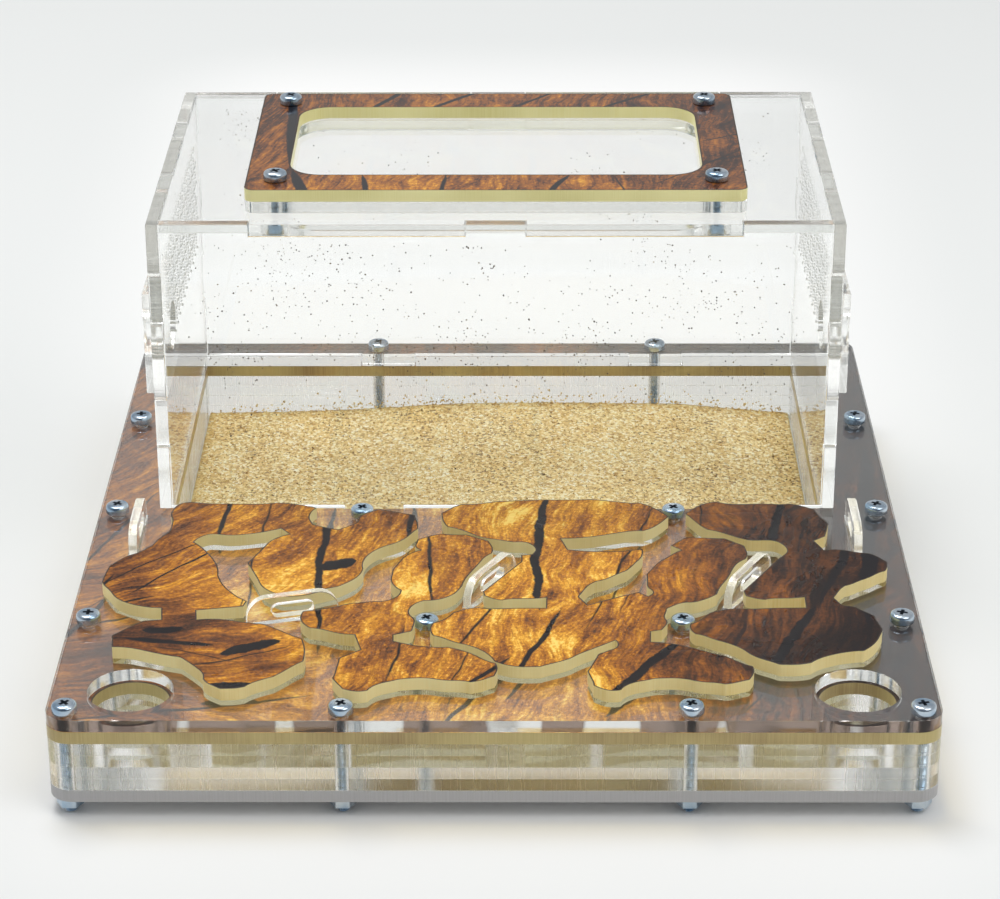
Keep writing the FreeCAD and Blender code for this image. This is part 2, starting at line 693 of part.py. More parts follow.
# ---------------------------------------------------------------------------------------------
# Arena
# ---------------------------------------------------------------------------------------------
def corner_tabs(outward_depth, clearance=0.0):
    """Tabs at the arena's upright corners, or the notches that take them."""
    width = value("Sizes.corner_tab_width")
    return [(value(low) - clearance, value(low) + width + clearance, outward_depth)
            for low in ("Sizes.corner_tab_low", "Sizes.corner_tab_high")]


def roof_tabs(outward_depth, clearance=0.0):
    """Tabs along the roof's front and rear edges, or the notches that take them."""
    start = value("Sizes.roof_tab_start") - clearance
    end = value("Sizes.roof_tab_end") + clearance
    return [(-end, -start, outward_depth), (start, end, outward_depth)]


def cross_wall(label, y_behind):
    """Front or rear wall, between the side walls; its rear face is at y_behind."""
    sheet = value("Sizes.arena_sheet")
    clearance = value("Sizes.tab_clearance")
    side = value(RECESS_SIDE)
    body = new_body(label, y=y_behind, z=COVER_TOP)
    outline = sketch_on(body, "outline", "XZ_Plane")
    draw_polygon(outline, tabbed_outline(-side, side, 0, value("Sizes.arena_height"), {
        "bottom": foot_tabs(sheet), "top": roof_tabs(-sheet, clearance),
        "left": corner_tabs(sheet), "right": corner_tabs(sheet)}))
    pad(body, outline, "Sizes.arena_sheet")
    return body


def side_wall(label, inner_face, bore_middle):
    """Side wall from the front face to the rear face, with a bore for the tube."""
    sheet = value("Sizes.arena_sheet")
    clearance = value("Sizes.tab_clearance")
    body = new_body(label, x=inner_face, z=COVER_TOP)
    outline = sketch_on(body, "outline", "YZ_Plane")
    height = value("Sizes.arena_height")
    draw_polygon(outline, tabbed_outline(value(ARENA_FRONT), value(ARENA_REAR), 0, height, {
        "bottom": side_tabs(sheet), "top": side_tabs(-sheet, clearance),
        "left": corner_tabs(-sheet, clearance), "right": corner_tabs(-sheet, clearance)}))
    pad(body, outline, "Sizes.arena_sheet")
    bore = sketch_on(body, "tube_bore", "YZ_Plane")
    draw_circles(bore, [bore_middle], "Sizes.tube_bore")
    cut_through(body, bore)
    return body


def tube_plate(label, inner_face, bore_middle):
    """Square plate that thickens the wall round the tube's bore."""
    body = new_body(label, x=inner_face, z=COVER_TOP)
    front = "(%s + Sizes.tube_plate_front)" % ARENA_FRONT
    outline = sketch_on(body, "outline", "YZ_Plane")
    draw_rectangle(outline, front, front + " + Sizes.tube_plate",
                   "Sizes.tube_plate_height", "Sizes.tube_plate_height + Sizes.tube_plate")
    pad(body, outline, "Sizes.arena_sheet")
    bore = sketch_on(body, "tube_bore", "YZ_Plane")
    draw_circles(bore, [bore_middle], "Sizes.tube_bore")
    cut_through(body, bore)
    return body


tube_middle = Vector(value(ARENA_FRONT + " + Sizes.tube_plate_front + Sizes.tube_plate / 2"),
                     value("Sizes.tube_plate_height + Sizes.tube_plate / 2"), 0)
arena_front_wall = cross_wall("arena_front_wall", RECESS_FRONT)
arena_rear_wall = cross_wall("arena_rear_wall", ARENA_REAR)
arena_left_wall = side_wall("arena_left_wall", "-" + ARENA_SIDE, tube_middle)
arena_right_wall = side_wall("arena_right_wall", RECESS_SIDE, tube_middle)
tube_plate_left = tube_plate("tube_plate_left", "-(%s + Sizes.arena_sheet)" % ARENA_SIDE, tube_middle)
tube_plate_right = tube_plate("tube_plate_right", ARENA_SIDE, tube_middle)


def draw_round_window(sketch, margin):
    """The lid window's round-cornered rectangle, wider all round by a margin."""
    grow = value(margin)
    half_length = value("Sizes.window_length") / 2 + grow
    half_depth = value("Sizes.window_depth") / 2 + grow
    radius = value("Sizes.window_corner") + grow
    middle = value(LID_MIDDLE)
    x = half_length - radius
    low = middle - half_depth
    high = middle + half_depth
    close_ring(sketch, [
        sketch.addGeometry(Part.LineSegment(Vector(-x, low, 0), Vector(x, low, 0))),
        draw_arc(sketch, Vector(x, low + radius, 0), radius, -90, 0),
        sketch.addGeometry(Part.LineSegment(Vector(half_length, low + radius, 0),
                                            Vector(half_length, high - radius, 0))),
        draw_arc(sketch, Vector(x, high - radius, 0), radius, 0, 90),
        sketch.addGeometry(Part.LineSegment(Vector(x, high, 0), Vector(-x, high, 0))),
        draw_arc(sketch, Vector(-x, high - radius, 0), radius, 90, 180),
        sketch.addGeometry(Part.LineSegment(Vector(-half_length, high - radius, 0),
                                            Vector(-half_length, low + radius, 0))),
        draw_arc(sketch, Vector(-x, low + radius, 0), radius, 180, 270),
    ])


def arena_roof():
    """Roof with tabs in all four walls, the feeding opening and seats for the lid's nuts."""
    sheet = value("Sizes.arena_sheet")
    body = new_body("arena_roof", z=ARENA_TOP + " - Sizes.arena_sheet")
    outline = sketch_on(body, "outline")
    draw_polygon(outline, tabbed_outline(
        -value(RECESS_SIDE), value(RECESS_SIDE), value(RECESS_FRONT), value(RECESS_REAR),
        {"bottom": roof_tabs(sheet), "top": roof_tabs(sheet),
         "left": side_tabs(sheet), "right": side_tabs(sheet)}))
    pad(body, outline, "Sizes.arena_sheet")
    opening = sketch_on(body, "feeding_opening")
    draw_round_window(opening, "Sizes.feed_margin")
    cut_through(body, opening)
    seats = sketch_on(body, "nut_seats")
    draw_circles(seats, lid_screw_places(), "Sizes.nut_seat")
    cut_through(body, seats)
    return body


roof = arena_roof()


def sand():
    """Sand on the recess's floor, from wall to wall, with a low heap."""
    side = value(RECESS_SIDE + " - Sizes.sand_clearance")
    body = new_body("sand_bed", y=RECESS_REAR + " - Sizes.sand_clearance", z=level(1))
    profile = sketch_on(body, "profile", "XZ_Plane")
    left_edge = Vector(-side, value("Sizes.sand_edge"), 0)
    toe = Vector(value("Sizes.sand_toe_place"), value("Sizes.sand_toe"), 0)
    top = Vector(value("Sizes.sand_top_place"), value("Sizes.sand_top"), 0)
    right_edge = Vector(side, value("Sizes.sand_edge"), 0)
    floor = [left_edge, Vector(-side, 0, 0), Vector(side, 0, 0), right_edge]
    for start, end in zip(floor, floor[1:]):
        profile.addGeometry(Part.LineSegment(start, end))
    for arc in smooth_run([left_edge, toe, top, right_edge]):
        profile.addGeometry(arc)
    pad(body, profile, RECESS_REAR + " - " + RECESS_FRONT + " - 2 * Sizes.sand_clearance")
    return body


sand_bed = sand()


# ---------------------------------------------------------------------------------------------
# Lid: printed frame on a clear pane, held together by four screws whose nuts locate it
# ---------------------------------------------------------------------------------------------
def lid_sheet(label, number):
    body = new_body(label, z=ARENA_TOP + " + %d * Sizes.lid_sheet" % number)
    outline = sketch_on(body, "outline")
    draw_rectangle(outline, "-" + LID_HALF_LENGTH, LID_HALF_LENGTH,
                   LID_MIDDLE + " - " + LID_HALF_DEPTH, LID_MIDDLE + " + " + LID_HALF_DEPTH)
    slab = pad(body, outline, "Sizes.lid_sheet")
    round_corners(body, slab, "Sizes.lid_corner")
    holes = sketch_on(body, "screw_holes")
    draw_circles(holes, lid_screw_places(), "Sizes.screw_diameter + 2 * Sizes.hole_clearance")
    cut_through(body, holes)
    return body


lid_pane = lid_sheet("lid_pane", 0)
lid_ring = lid_sheet("lid_ring", 1)
window = sketch_on(lid_ring, "window")
draw_round_window(window, "0")
cut_through(lid_ring, window)


# ---------------------------------------------------------------------------------------------
# Check and write
# ---------------------------------------------------------------------------------------------
SUB_PARTS = [base_sheet, nest_sheet_1, nest_sheet_2, nest_sheet_3, nest_sheet_4, decor_sheet, cover_sheet,
             clamp_screws, clamp_nuts, arena_front_wall, arena_rear_wall, arena_left_wall, arena_right_wall,
             roof, tube_plate_left, tube_plate_right, sand_bed, lid_pane, lid_ring, lid_screws, lid_nuts]
SUB_PARTS += gates + shades

DOC.recompute()
for item in DOC.Objects:
    if "Invalid" in item.State or "Error" in item.State:
        raise RuntimeError("%s failed: %s" % (item.Label, item.State))
for item in SUB_PARTS:
    if item.Shape.isNull() or not item.Shape.isValid() or not item.Shape.Solids:
        raise RuntimeError("%s has no valid solid" % item.Label)

os.makedirs("parts", exist_ok=True)
for item in SUB_PARTS:
    item.Shape.exportStep("parts/%s.step" % item.Label)
    box = item.Shape.BoundBox
    print("%-18s %2d solid(s)  x %7.2f %7.2f  y %7.2f %7.2f  z %6.2f %6.2f  %9.0f mm3" % (
        item.Label, len(item.Shape.Solids), box.XMin, box.XMax, box.YMin, box.YMax, box.ZMin, box.ZMax,
        item.Shape.Volume))
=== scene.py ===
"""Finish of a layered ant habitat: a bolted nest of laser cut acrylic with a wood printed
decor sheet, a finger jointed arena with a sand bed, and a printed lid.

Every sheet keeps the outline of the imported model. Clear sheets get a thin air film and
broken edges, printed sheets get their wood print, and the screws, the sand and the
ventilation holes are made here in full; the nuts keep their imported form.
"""
import json
import math
import random
from functools import partialmethod

import bmesh
import bpy
import numpy as np
from mathutils import Matrix, Vector
from mathutils.bvhtree import BVHTree


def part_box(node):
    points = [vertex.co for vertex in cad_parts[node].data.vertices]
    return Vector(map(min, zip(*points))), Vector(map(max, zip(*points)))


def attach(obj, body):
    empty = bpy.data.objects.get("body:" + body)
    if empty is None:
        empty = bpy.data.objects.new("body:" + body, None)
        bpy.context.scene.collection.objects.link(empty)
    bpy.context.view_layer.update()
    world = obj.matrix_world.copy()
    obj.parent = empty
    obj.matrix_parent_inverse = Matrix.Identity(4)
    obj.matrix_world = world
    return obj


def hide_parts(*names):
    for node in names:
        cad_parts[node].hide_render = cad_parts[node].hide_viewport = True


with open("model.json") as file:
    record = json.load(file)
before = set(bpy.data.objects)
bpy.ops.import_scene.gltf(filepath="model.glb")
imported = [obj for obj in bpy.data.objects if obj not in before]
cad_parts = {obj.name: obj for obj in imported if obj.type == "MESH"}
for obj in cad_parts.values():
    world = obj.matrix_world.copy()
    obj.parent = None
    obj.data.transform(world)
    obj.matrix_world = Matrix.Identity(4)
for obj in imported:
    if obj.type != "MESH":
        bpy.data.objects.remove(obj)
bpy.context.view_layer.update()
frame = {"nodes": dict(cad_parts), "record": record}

MM = 0.001

# ---------------- camera and frame sizes

CAMERA_PLACE = Vector((5.53, -700.5, 368.57)) * MM
CAMERA_DOWN = 0.4374
CAMERA_TURN = -0.0066
CAMERA_ROLL = -0.0029
SENSOR_WIDTH = 36.0
FOCAL_LENGTH = 111.1

COVER_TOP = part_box("cover_sheet")[1].z
FRONT_WALL_LOW, FRONT_WALL_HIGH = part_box("arena_front_wall")
REAR_WALL_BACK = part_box("arena_rear_wall")[1].y
SAND_LOW, SAND_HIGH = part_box("sand_bed")

PORTS = [Vector(mount["pos_m"][:2]) for mount in frame["record"]["mounts"]
         if mount["name"].startswith("cover_port")]
PORT_REACH = 10.8 * MM  # a port's own edge lies within this of its middle

GATES = [node for node in frame["nodes"] if node.startswith("gate_")]
SHADES = [node for node in frame["nodes"] if node.startswith("shade_")]
GATE_BOXES = [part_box(node) for node in GATES]
GATE_ROOM = 1.5 * MM  # a plate's outline is left as packed this near to a gate

PLATE_SCORCH = 0.32 * MM  # widths of the scorched lines
DECOR_SCORCH = 0.5 * MM
LID_SCORCH = 0.3 * MM
SCORCH_LIFT = 0.012 * MM  # how far a scorched line stands above its print
AIR_FILM = 0.03 * MM  # gap left between sheets that lie on each other
BROKEN_EDGE = 0.14 * MM  # chamfer of a clear sheet's edges
WELD = 1e-7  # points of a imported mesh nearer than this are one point
FLAT_ANGLE = math.radians(0.5)  # facets that turn less than this are one flat face
SMOOTH_ANGLE = math.radians(32)  # edges that turn less are shaded round
SHARP_ANGLE = math.radians(50)  # edges that turn more are broken with a chamfer
CORNER_ANGLE = math.radians(62)  # a plate's outline keeps a corner that turns more than this
ROUND_STEP = math.radians(4)


def place_camera():
    """Puts the camera at the height and tilt from which the habitat is seen."""
    data = bpy.data.cameras.new("camera")
    data.sensor_width = SENSOR_WIDTH
    data.lens = FOCAL_LENGTH
    data.clip_start = 0.01
    camera = put_in_scene("camera", data)
    level = Matrix.Rotation(-CAMERA_TURN, 4, "Z") @ Matrix.Rotation(math.pi / 2 - CAMERA_DOWN, 4, "X")
    camera.matrix_world = Matrix.Translation(CAMERA_PLACE) @ level @ Matrix.Rotation(CAMERA_ROLL, 4, "Z")
    bpy.context.scene.camera = camera


# ---------------- node trees

class Graph:
    """Adds nodes to one tree and joins them, each with the values that it needs."""

    def __init__(self, tree):
        self.tree = tree

    def feed(self, socket, source):
        if isinstance(source, bpy.types.NodeSocket):
            self.tree.links.new(source, socket)
        elif socket.type == "RGBA" and len(source) == 3:
            socket.default_value = (*source, 1.0)
        else:
            socket.default_value = source

    def fill(self, node, inputs):
        for name, source in inputs.items():
            self.feed(node.inputs[name], source)

    def add(self, kind, inputs=None, **settings):
        node = self.tree.nodes.new("ShaderNode" + kind)
        for name, setting in settings.items():
            setattr(node, name, setting)
        self.fill(node, inputs or {})
        return node

    def maths(self, operation, *terms, clamp=False):
        node = self.add("Math", dict(enumerate(terms)), operation=operation, use_clamp=clamp)
        return node.outputs[0]

    times = partialmethod(maths, "MULTIPLY")
    times_plus = partialmethod(maths, "MULTIPLY_ADD")
    plus = partialmethod(maths, "ADD")
    minus = partialmethod(maths, "SUBTRACT")
    most = partialmethod(maths, "MAXIMUM")

    def vector(self, operation, first, second):
        return self.add("VectorMath", {0: first, 1: second}, operation=operation).outputs[0]

    def noise(self, place, scale, detail=2.0, roughness=0.5, distortion=0.0):
        node = self.add("TexNoise", {"Vector": place, "Scale": scale, "Detail": detail,
                                     "Roughness": roughness, "Distortion": distortion})
        return node.outputs["Fac"]

    def steps(self, factor, stops, interpolation="LINEAR"):
        node = self.add("ValToRGB", {"Fac": factor})
        ramp = node.color_ramp
        ramp.interpolation = interpolation
        while len(ramp.elements) < len(stops):
            ramp.elements.new(0.5)
        for element, (position, colour) in zip(ramp.elements, stops):
            element.position = position
            element.color = (*colour, 1.0)
        return node.outputs["Color"]

    def blend(self, factor, first, second, kind="MIX"):
        node = self.add("MixRGB", {"Fac": factor, "Color1": first, "Color2": second}, blend_type=kind)
        return node.outputs["Color"]

    def spread(self, value, low, high, to_low=0.0, to_high=1.0, kind="LINEAR"):
        node = self.add("MapRange", {"Value": value, "From Min": low, "From Max": high,
                                     "To Min": to_low, "To Max": to_high}, interpolation_type=kind)
        return node.outputs["Result"]

    def group(self, tree, inputs):
        return self.add("Group", inputs, node_tree=tree).outputs

    def point(self, x, y):
        return self.add("CombineXYZ", {"X": x, "Y": y}).outputs[0]

    def split(self, place):
        return self.add("SeparateXYZ", {0: place}).outputs

    def bump(self, height, strength, distance):
        node = self.add("Bump", {"Height": height, "Strength": strength, "Distance": distance})
        return node.outputs["Normal"]


def own_place(graph):
    """Position on the piece in millimetres, which stays with the piece when it moves."""
    place = graph.add("TexCoord").outputs["Object"]
    return graph.add("VectorMath", {0: place, "Scale": 1 / MM}, operation="SCALE").outputs[0]


def face_direction(graph):
    """The way that a face points, which turns with the piece."""
    normal = graph.add("NewGeometry").outputs["True Normal"]
    return graph.add("VectorTransform", {"Vector": normal}, vector_type="NORMAL",
                     convert_from="WORLD", convert_to="OBJECT").outputs[0]


def start_group(name, inputs, outputs):
    """A node group with named sockets: its graph, what comes in and what goes out."""
    tree = bpy.data.node_groups.new(name, "ShaderNodeTree")
    for label, kind, default in inputs:
        socket = tree.interface.new_socket(label, in_out="INPUT", socket_type="NodeSocket" + kind)
        if default is not None:
            socket.default_value = default
    for label, kind in outputs:
        tree.interface.new_socket(label, in_out="OUTPUT", socket_type="NodeSocket" + kind)
    come_in = tree.nodes.new("NodeGroupInput").outputs
    go_out = tree.nodes.new("NodeGroupOutput").inputs
    return tree, Graph(tree), come_in, go_out


def cut_edge_group():
    """Tells the sawn edge of a sheet from its faces, and draws the laser's upright lines on it."""
    tree, graph, given, result = start_group(
        "cut_edge", [("Place", "Vector", None), ("Thin Axis", "Vector", (0.0, 0.0, 1.0)),
                     ("Pitch", "Float", 0.35)], [("Edge", "Float"), ("Lines", "Float")])
    facing = graph.add("VectorMath", {0: face_direction(graph), 1: given["Thin Axis"]},
                       operation="DOT_PRODUCT").outputs["Value"]
    flatness = graph.maths("ABSOLUTE", facing)
    edge = graph.spread(flatness, 0.5, 0.8, 1.0, 0.0)
    across = graph.vector("SUBTRACT", (1.0, 1.0, 1.0), given["Thin Axis"])
    stretched = graph.vector("MULTIPLY", given["Place"], across)
    frequency = graph.maths("DIVIDE", 1.0, given["Pitch"])
    graph.feed(result["Edge"], edge)
    graph.feed(result["Lines"], graph.noise(stretched, frequency, 3.0, 0.7))
    return tree


def haze_group():
    """Faint wipe marks that vary the gloss of a polished face."""
    tree, graph, given, result = start_group(
        "haze", [("Place", "Vector", None), ("Size", "Float", 30.0)], [("Haze", "Float")])
    broad = graph.noise(given["Place"], graph.maths("DIVIDE", 1.0, given["Size"]), 3.0, 0.6, 0.8)
    graph.feed(result["Haze"], graph.spread(broad, 0.35, 0.75))
    return tree


def vein_group():
    """One dark vein of the wood print: it runs along Y, leans, bows and wanders."""
    tree, graph, given, result = start_group(
        "vein", [(label, "Float", 0.0) for label in ("Across", "Along", "Wander", "Fray", "Place", "Lean",
                                                     "Bow", "Width", "Start", "End")], [("Mask", "Float")])
    middle = graph.times(graph.plus(given["Start"], given["End"]), 0.5)
    run = graph.minus(given["Along"], middle)
    leant = graph.times_plus(run, given["Lean"], given["Place"])
    line = graph.times_plus(graph.times(run, run), given["Bow"], leant)
    moved = graph.plus(graph.minus(given["Across"], line), given["Wander"])
    half_run = graph.times(graph.minus(given["End"], given["Start"]), 0.5)
    share = graph.maths("DIVIDE", graph.maths("ABSOLUTE", run), half_run)
    taper = graph.minus(1.0, graph.maths("POWER", share, 4.0), clamp=True)
    half = graph.times(graph.times(given["Width"], 0.5), taper)
    frayed = graph.times_plus(given["Fray"], given["Width"], half)
    depth = graph.minus(frayed, graph.maths("ABSOLUTE", moved))
    soft = graph.spread(depth, -0.12, 0.3)
    graph.feed(result["Mask"], graph.times(soft, graph.spread(taper, 0.0, 0.15)))
    return tree


# Veins of the wood print, in millimetres on the nest's plan. Each vein: its place across its run
# at the middle, its lean, its width, the two ends of its run, and its bow if it has one.
NEST_VEINS = (
    (9.9, 0.04, 2.6, -62, 4, 0.0022), (9.5, 0.36, 1.8, -97, -60), (31.0, 0.29, 0.9, -72, -1),
    (33.5, 0.3, 0.6, -63, -32), (-42.2, 0.0, 2.2, -76, 4, 0.001), (-67.2, 0.03, 1.5, -25, 4),
    (-58.2, 0.06, 0.8, -66, 2), (-77.0, 0.8, 1.1, -54, -26), (-84.0, 0.98, 0.9, -54, -20, 0.006),
    (-21.3, 0.03, 1.8, -25, 4), (-15.6, -0.04, 1.1, -60, -18), (-22.4, 0.12, 0.9, -96, -68),
    (-4.0, 0.39, 1.0, -80, -56), (-7.6, 0.3, 0.7, -100, -79), (34.5, 0.62, 3.3, -104, -73),
    (69.2, 0.16, 2.6, -32, 2), (51.0, 0.14, 0.7, -20, 2), (68.4, 0.45, 3.2, -92, -58),
    (84.0, 0.3, 2.4, -60, -8), (-95.0, 0.36, 1.1, -40, 14), (-97.5, 0.35, 1.6, -76, -42),
    (-5.0, 0.65, 1.8, -110, -83), (59.0, 0.55, 0.8, -104, -88), (92.0, 0.1, 4.5, -70, 40),
)
NEST_CROSS_VEINS = (
    (-84.5, 0.42, 0.8, -72, -46, 0.012), (-82.5, -0.36, 0.6, -80, -57), (-70.6, 0.1, 3.4, -82, -72),
    (-79.2, 0.5, 4.4, -63, -49), (-96.6, 0.05, 3.6, -66, -53), (-76.8, -0.2, 2.2, -86, -64),
    (-37.2, 0.35, 5.6, -43, -33.5), (-58.0, 0.45, 1.1, -99, -80), (-100.0, 0.2, 1.5, -96, -40),
)
LID_VEINS = (
    (-53.3, -0.05, 2.7, 20, 110), (-46.4, -0.22, 3.1, -16, 22), (-31.7, -0.15, 1.7, -2, 18),
    (-12.9, 0.05, 1.3, -2, 18), (14.0, 0.4, 2.0, -2, 18), (31.0, -0.2, 0.7, -2, 18),
    (-29.1, 0.54, 1.9, 66, 84), (-11.5, 0.88, 2.1, 66, 84), (9.2, 0.9, 1.5, 66, 84),
    (34.0, 1.1, 1.8, 66, 84), (56.0, 0.9, 1.0, 10, 50),
)
LID_CROSS_VEINS = (
    (30.0, 0.5, 1.0, 50, 66), (46.0, 0.55, 0.8, 50, 66),
)

# Tone of the print from dark walnut (0) to bright gold (1), over the sheet's width, and what is
# added to it from front to rear (0.5 adds nothing).
NEST_TONES = ((0.0, 0.5), (0.12, 0.53), (0.2, 0.65), (0.32, 0.71), (0.41, 0.72), (0.5, 0.75),
              (0.6, 0.78), (0.67, 0.62), (0.74, 0.43), (0.81, 0.35), (0.88, 0.23), (1.0, 0.14))
NEST_ROWS = ((0.0, 0.48), (0.06, 0.47), (0.1, 0.4), (0.16, 0.41), (0.24, 0.49), (0.9, 0.48), (0.94, 0.1),
             (1.0, 0.06))
LID_TONES = ((0.0, 0.42), (0.2, 0.44), (0.32, 0.5), (0.45, 0.54), (0.6, 0.52), (0.72, 0.46), (0.82, 0.34),
             (1.0, 0.3))
LID_ROWS = ((0.0, 0.5), (0.56, 0.5), (0.62, 0.46), (0.8, 0.45), (0.84, 0.42), (1.0, 0.42))
ROW_FRONT, ROW_REAR = -110.0, 110.0

PRINT_COLOURS = ((0.0, (0.014, 0.01, 0.01)), (0.16, (0.04, 0.018, 0.012)), (0.34, (0.15, 0.052, 0.018)),
                 (0.52, (0.33, 0.115, 0.02)), (0.7, (0.59, 0.24, 0.024)), (0.86, (0.83, 0.42, 0.045)),
                 (1.0, (0.96, 0.68, 0.17)))
VEIN_COLOUR = (0.012, 0.01, 0.012)
# The underside's colour: the sheet's own unprinted yellow, made lighter in part as painted glow of the light
# that passes through it.
UNPRINTED_WITH_PAINTED_GLOW = (0.93, 0.79, 0.56)


def wood_print_group(name, veins, cross_veins, tones, rows, waver, fraying):
    """The printed wood: mottled, streaked along the grain, and crossed by dark veins."""
    tree, graph, given, result = start_group(name, [("Place", "Vector", None)], [("Color", "Color")])
    x, y = graph.split(given["Place"])[:2]
    flat = graph.point(x, y)

    left_lean = graph.spread(x, -100.0, -40.0, 0.85, 0.18)
    across = graph.minus(x, graph.times(y, left_lean))
    swirl = graph.times(graph.minus(graph.noise(flat, 0.03, 2.0), 0.5), 20.0)
    grain_place = graph.point(graph.plus(across, swirl), graph.times(y, 0.16))
    streaks = graph.noise(grain_place, 0.3, 5.0, 0.62)
    figure = graph.noise(grain_place, 0.42, 4.0, 0.6, 0.6)
    fine_streaks = graph.noise(grain_place, 1.1, 3.0, 0.6)
    cloud = graph.noise(flat, 0.055, 3.0, 0.55, 0.6)
    mottle = graph.noise(flat, 1.0, 3.0, 0.65, 0.4)
    fleck = graph.noise(graph.point(across, graph.times(y, 0.55)), 1.55, 2.0, 0.6)

    share = graph.spread(x, -100.0, 100.0)
    grey_tones, grey_rows = ([(at, (tone, tone, tone)) for at, tone in stops] for stops in (tones, rows))
    across_tone = graph.steps(share, grey_tones, "B_SPLINE")
    row_tone = graph.steps(graph.spread(y, ROW_FRONT, ROW_REAR), grey_rows)
    profile = graph.minus(graph.plus(across_tone, row_tone), 0.5, clamp=True)
    change = graph.plus(graph.spread(cloud, 0.25, 0.75, -0.26, 0.26),
                        graph.spread(streaks, 0.25, 0.75, -0.34, 0.26))
    change = graph.plus(change, graph.spread(fine_streaks, 0.25, 0.75, -0.2, 0.16))
    change = graph.plus(change, graph.spread(mottle, 0.25, 0.75, -0.17, 0.17))
    tone = graph.times_plus(change, graph.spread(profile, 0.15, 0.6, 0.45, 1.0), profile)
    bright_fleck = graph.times(graph.spread(fleck, 0.54, 0.7), 0.22)
    lit = graph.times_plus(bright_fleck, graph.spread(profile, 0.3, 0.62), tone, clamp=True)
    wood = graph.steps(lit, PRINT_COLOURS)

    wander = graph.times(graph.minus(graph.noise(flat, 0.07, 2.0), 0.5), waver)
    fray = graph.times(graph.minus(graph.noise(flat, 0.5, 3.0, 0.7), 0.5), fraying)
    mask = 0.0
    for runs, first, second in ((veins, x, y), (cross_veins, y, x)):
        for place, lean, width, start, end, *bow in runs:
            vein = graph.group(VEIN, {"Across": first, "Along": second, "Wander": wander, "Fray": fray,
                                      "Place": place, "Lean": lean, "Width": width,
                                      "Start": start, "End": end, "Bow": bow[0] if bow else 0.0})
            mask = graph.most(mask, vein["Mask"])
    faint = graph.times(graph.spread(streaks, 0.3, 0.24), 0.55)
    flame = graph.times(graph.spread(figure, 0.53, 0.62), graph.spread(profile, 0.52, 0.3, 0.16, 0.8))
    mask = graph.most(mask, graph.most(faint, flame))
    graph.feed(result["Color"], graph.blend(mask, wood, VEIN_COLOUR))
    return tree


# ---------------- materials

BLACK = (0.0, 0.0, 0.0)
ACRYLIC_IOR = 1.49
CLEAR_FACE = (0.985, 0.992, 0.988)
CLEAR_FILM = (0.955, 0.965, 0.96)  # share of the light that each face of a clear sheet lets through
PAINTED_EDGE_GLOW = 0.12  # painted glow: how strongly a translucent sheet's cut edges give off light, standing for the light that it gathers there
SAND_TONES = ((0.0, (0.22, 0.14, 0.06)), (0.06, (0.48, 0.31, 0.12)), (0.3, (0.68, 0.47, 0.19)),
              (0.6, (0.83, 0.63, 0.29)), (0.82, (0.92, 0.78, 0.44)), (1.0, (0.97, 0.91, 0.7)))
GRIT_TONES = ((0.35, (0.03, 0.024, 0.018)), (0.55, (0.14, 0.11, 0.08)), (0.75, (0.5, 0.38, 0.2)))


def start_material(name):
    """An empty node material: its graph, which knows the output's surface, and its shader."""
    material = bpy.data.materials.new(name)
    material.use_nodes = True
    material.node_tree.nodes.clear()
    graph = Graph(material.node_tree)
    shader = graph.add("BsdfPrincipled")
    graph.surface = graph.add("OutputMaterial").inputs["Surface"]
    graph.feed(graph.surface, shader.outputs[0])
    return material, graph, shader


def let_light_through(graph, shader, tint):
    """Plastic that light passes: shadow and soft light rays go through it, tinted."""
    ray = graph.add("LightPath").outputs
    passing = graph.most(ray["Is Shadow Ray"], ray["Is Diffuse Ray"])
    film = graph.add("BsdfTransparent", {"Color": tint})
    mix = graph.add("MixShader", {0: passing, 1: shader.outputs[0], 2: film.outputs[0]})
    graph.feed(graph.surface, mix.outputs[0])


def mirror_patches(graph, place):
    """Where the front edge of a sheet mirrors the print below it: in long patches, more at the corners."""
    drawn_out = graph.vector("MULTIPLY", place, (1.0, 1.0, 0.15))
    x, y = graph.split(place)[:2]
    corners = graph.spread(graph.maths("ABSOLUTE", x), 72.0, 92.0, 0.0, 0.16)
    cloud = graph.plus(graph.noise(drawn_out, 0.055, 2.0, 0.45), corners)
    at_front = graph.spread(y, -104.0, -101.0, 1.0, 0.0)
    return graph.times(graph.spread(cloud, 0.475, 0.5), at_front)


def clear_acrylic(name, thin_axis, edge_roughness, edge_tint, mirrored=None, painted_edge_glow=0.0, cut_relief=0.35):
    """Clear cast acrylic: polished faces, and laser cut edges with fine upright lines.

    An edge that lies on the print shows a painted reflection of it in patches, in the colour that
    is given, and a thin wall gets a painted glow at its cut edges, for the light that it gathers."""
    material, graph, shader = start_material(name)
    place = own_place(graph)
    cut = graph.group(CUT_EDGE, {"Place": place, "Thin Axis": thin_axis, "Pitch": 0.35})
    haze = graph.group(HAZE, {"Place": place, "Size": 26.0})["Haze"]
    lines = graph.spread(cut["Lines"], 0.35, 0.65)
    edge_colour = graph.blend(lines, [tone * 0.9 for tone in edge_tint], edge_tint)
    if mirrored:
        edge_colour = graph.blend(mirror_patches(graph, place), edge_colour, mirrored)
    rough_edge = graph.spread(lines, 0.0, 1.0, edge_roughness * 0.5, edge_roughness)
    rough = graph.add("Mix", {0: cut["Edge"], 2: graph.times(haze, 0.012), 3: rough_edge}).outputs[0]
    height = graph.times(cut["Lines"], cut["Edge"])
    graph.fill(shader, {"Base Color": graph.blend(cut["Edge"], CLEAR_FACE, edge_colour),
                        "Roughness": rough, "Normal": graph.bump(height, cut_relief, 0.06 * MM),
                        "Transmission Weight": 1.0, "IOR": ACRYLIC_IOR})
    # painted glow: the cut edges give off their tint as light
    if painted_edge_glow:
        graph.fill(shader, {"Emission Color": graph.blend(cut["Edge"], BLACK, edge_colour),
                            "Emission Strength": painted_edge_glow})
    let_light_through(graph, shader, CLEAR_FILM)
    return material


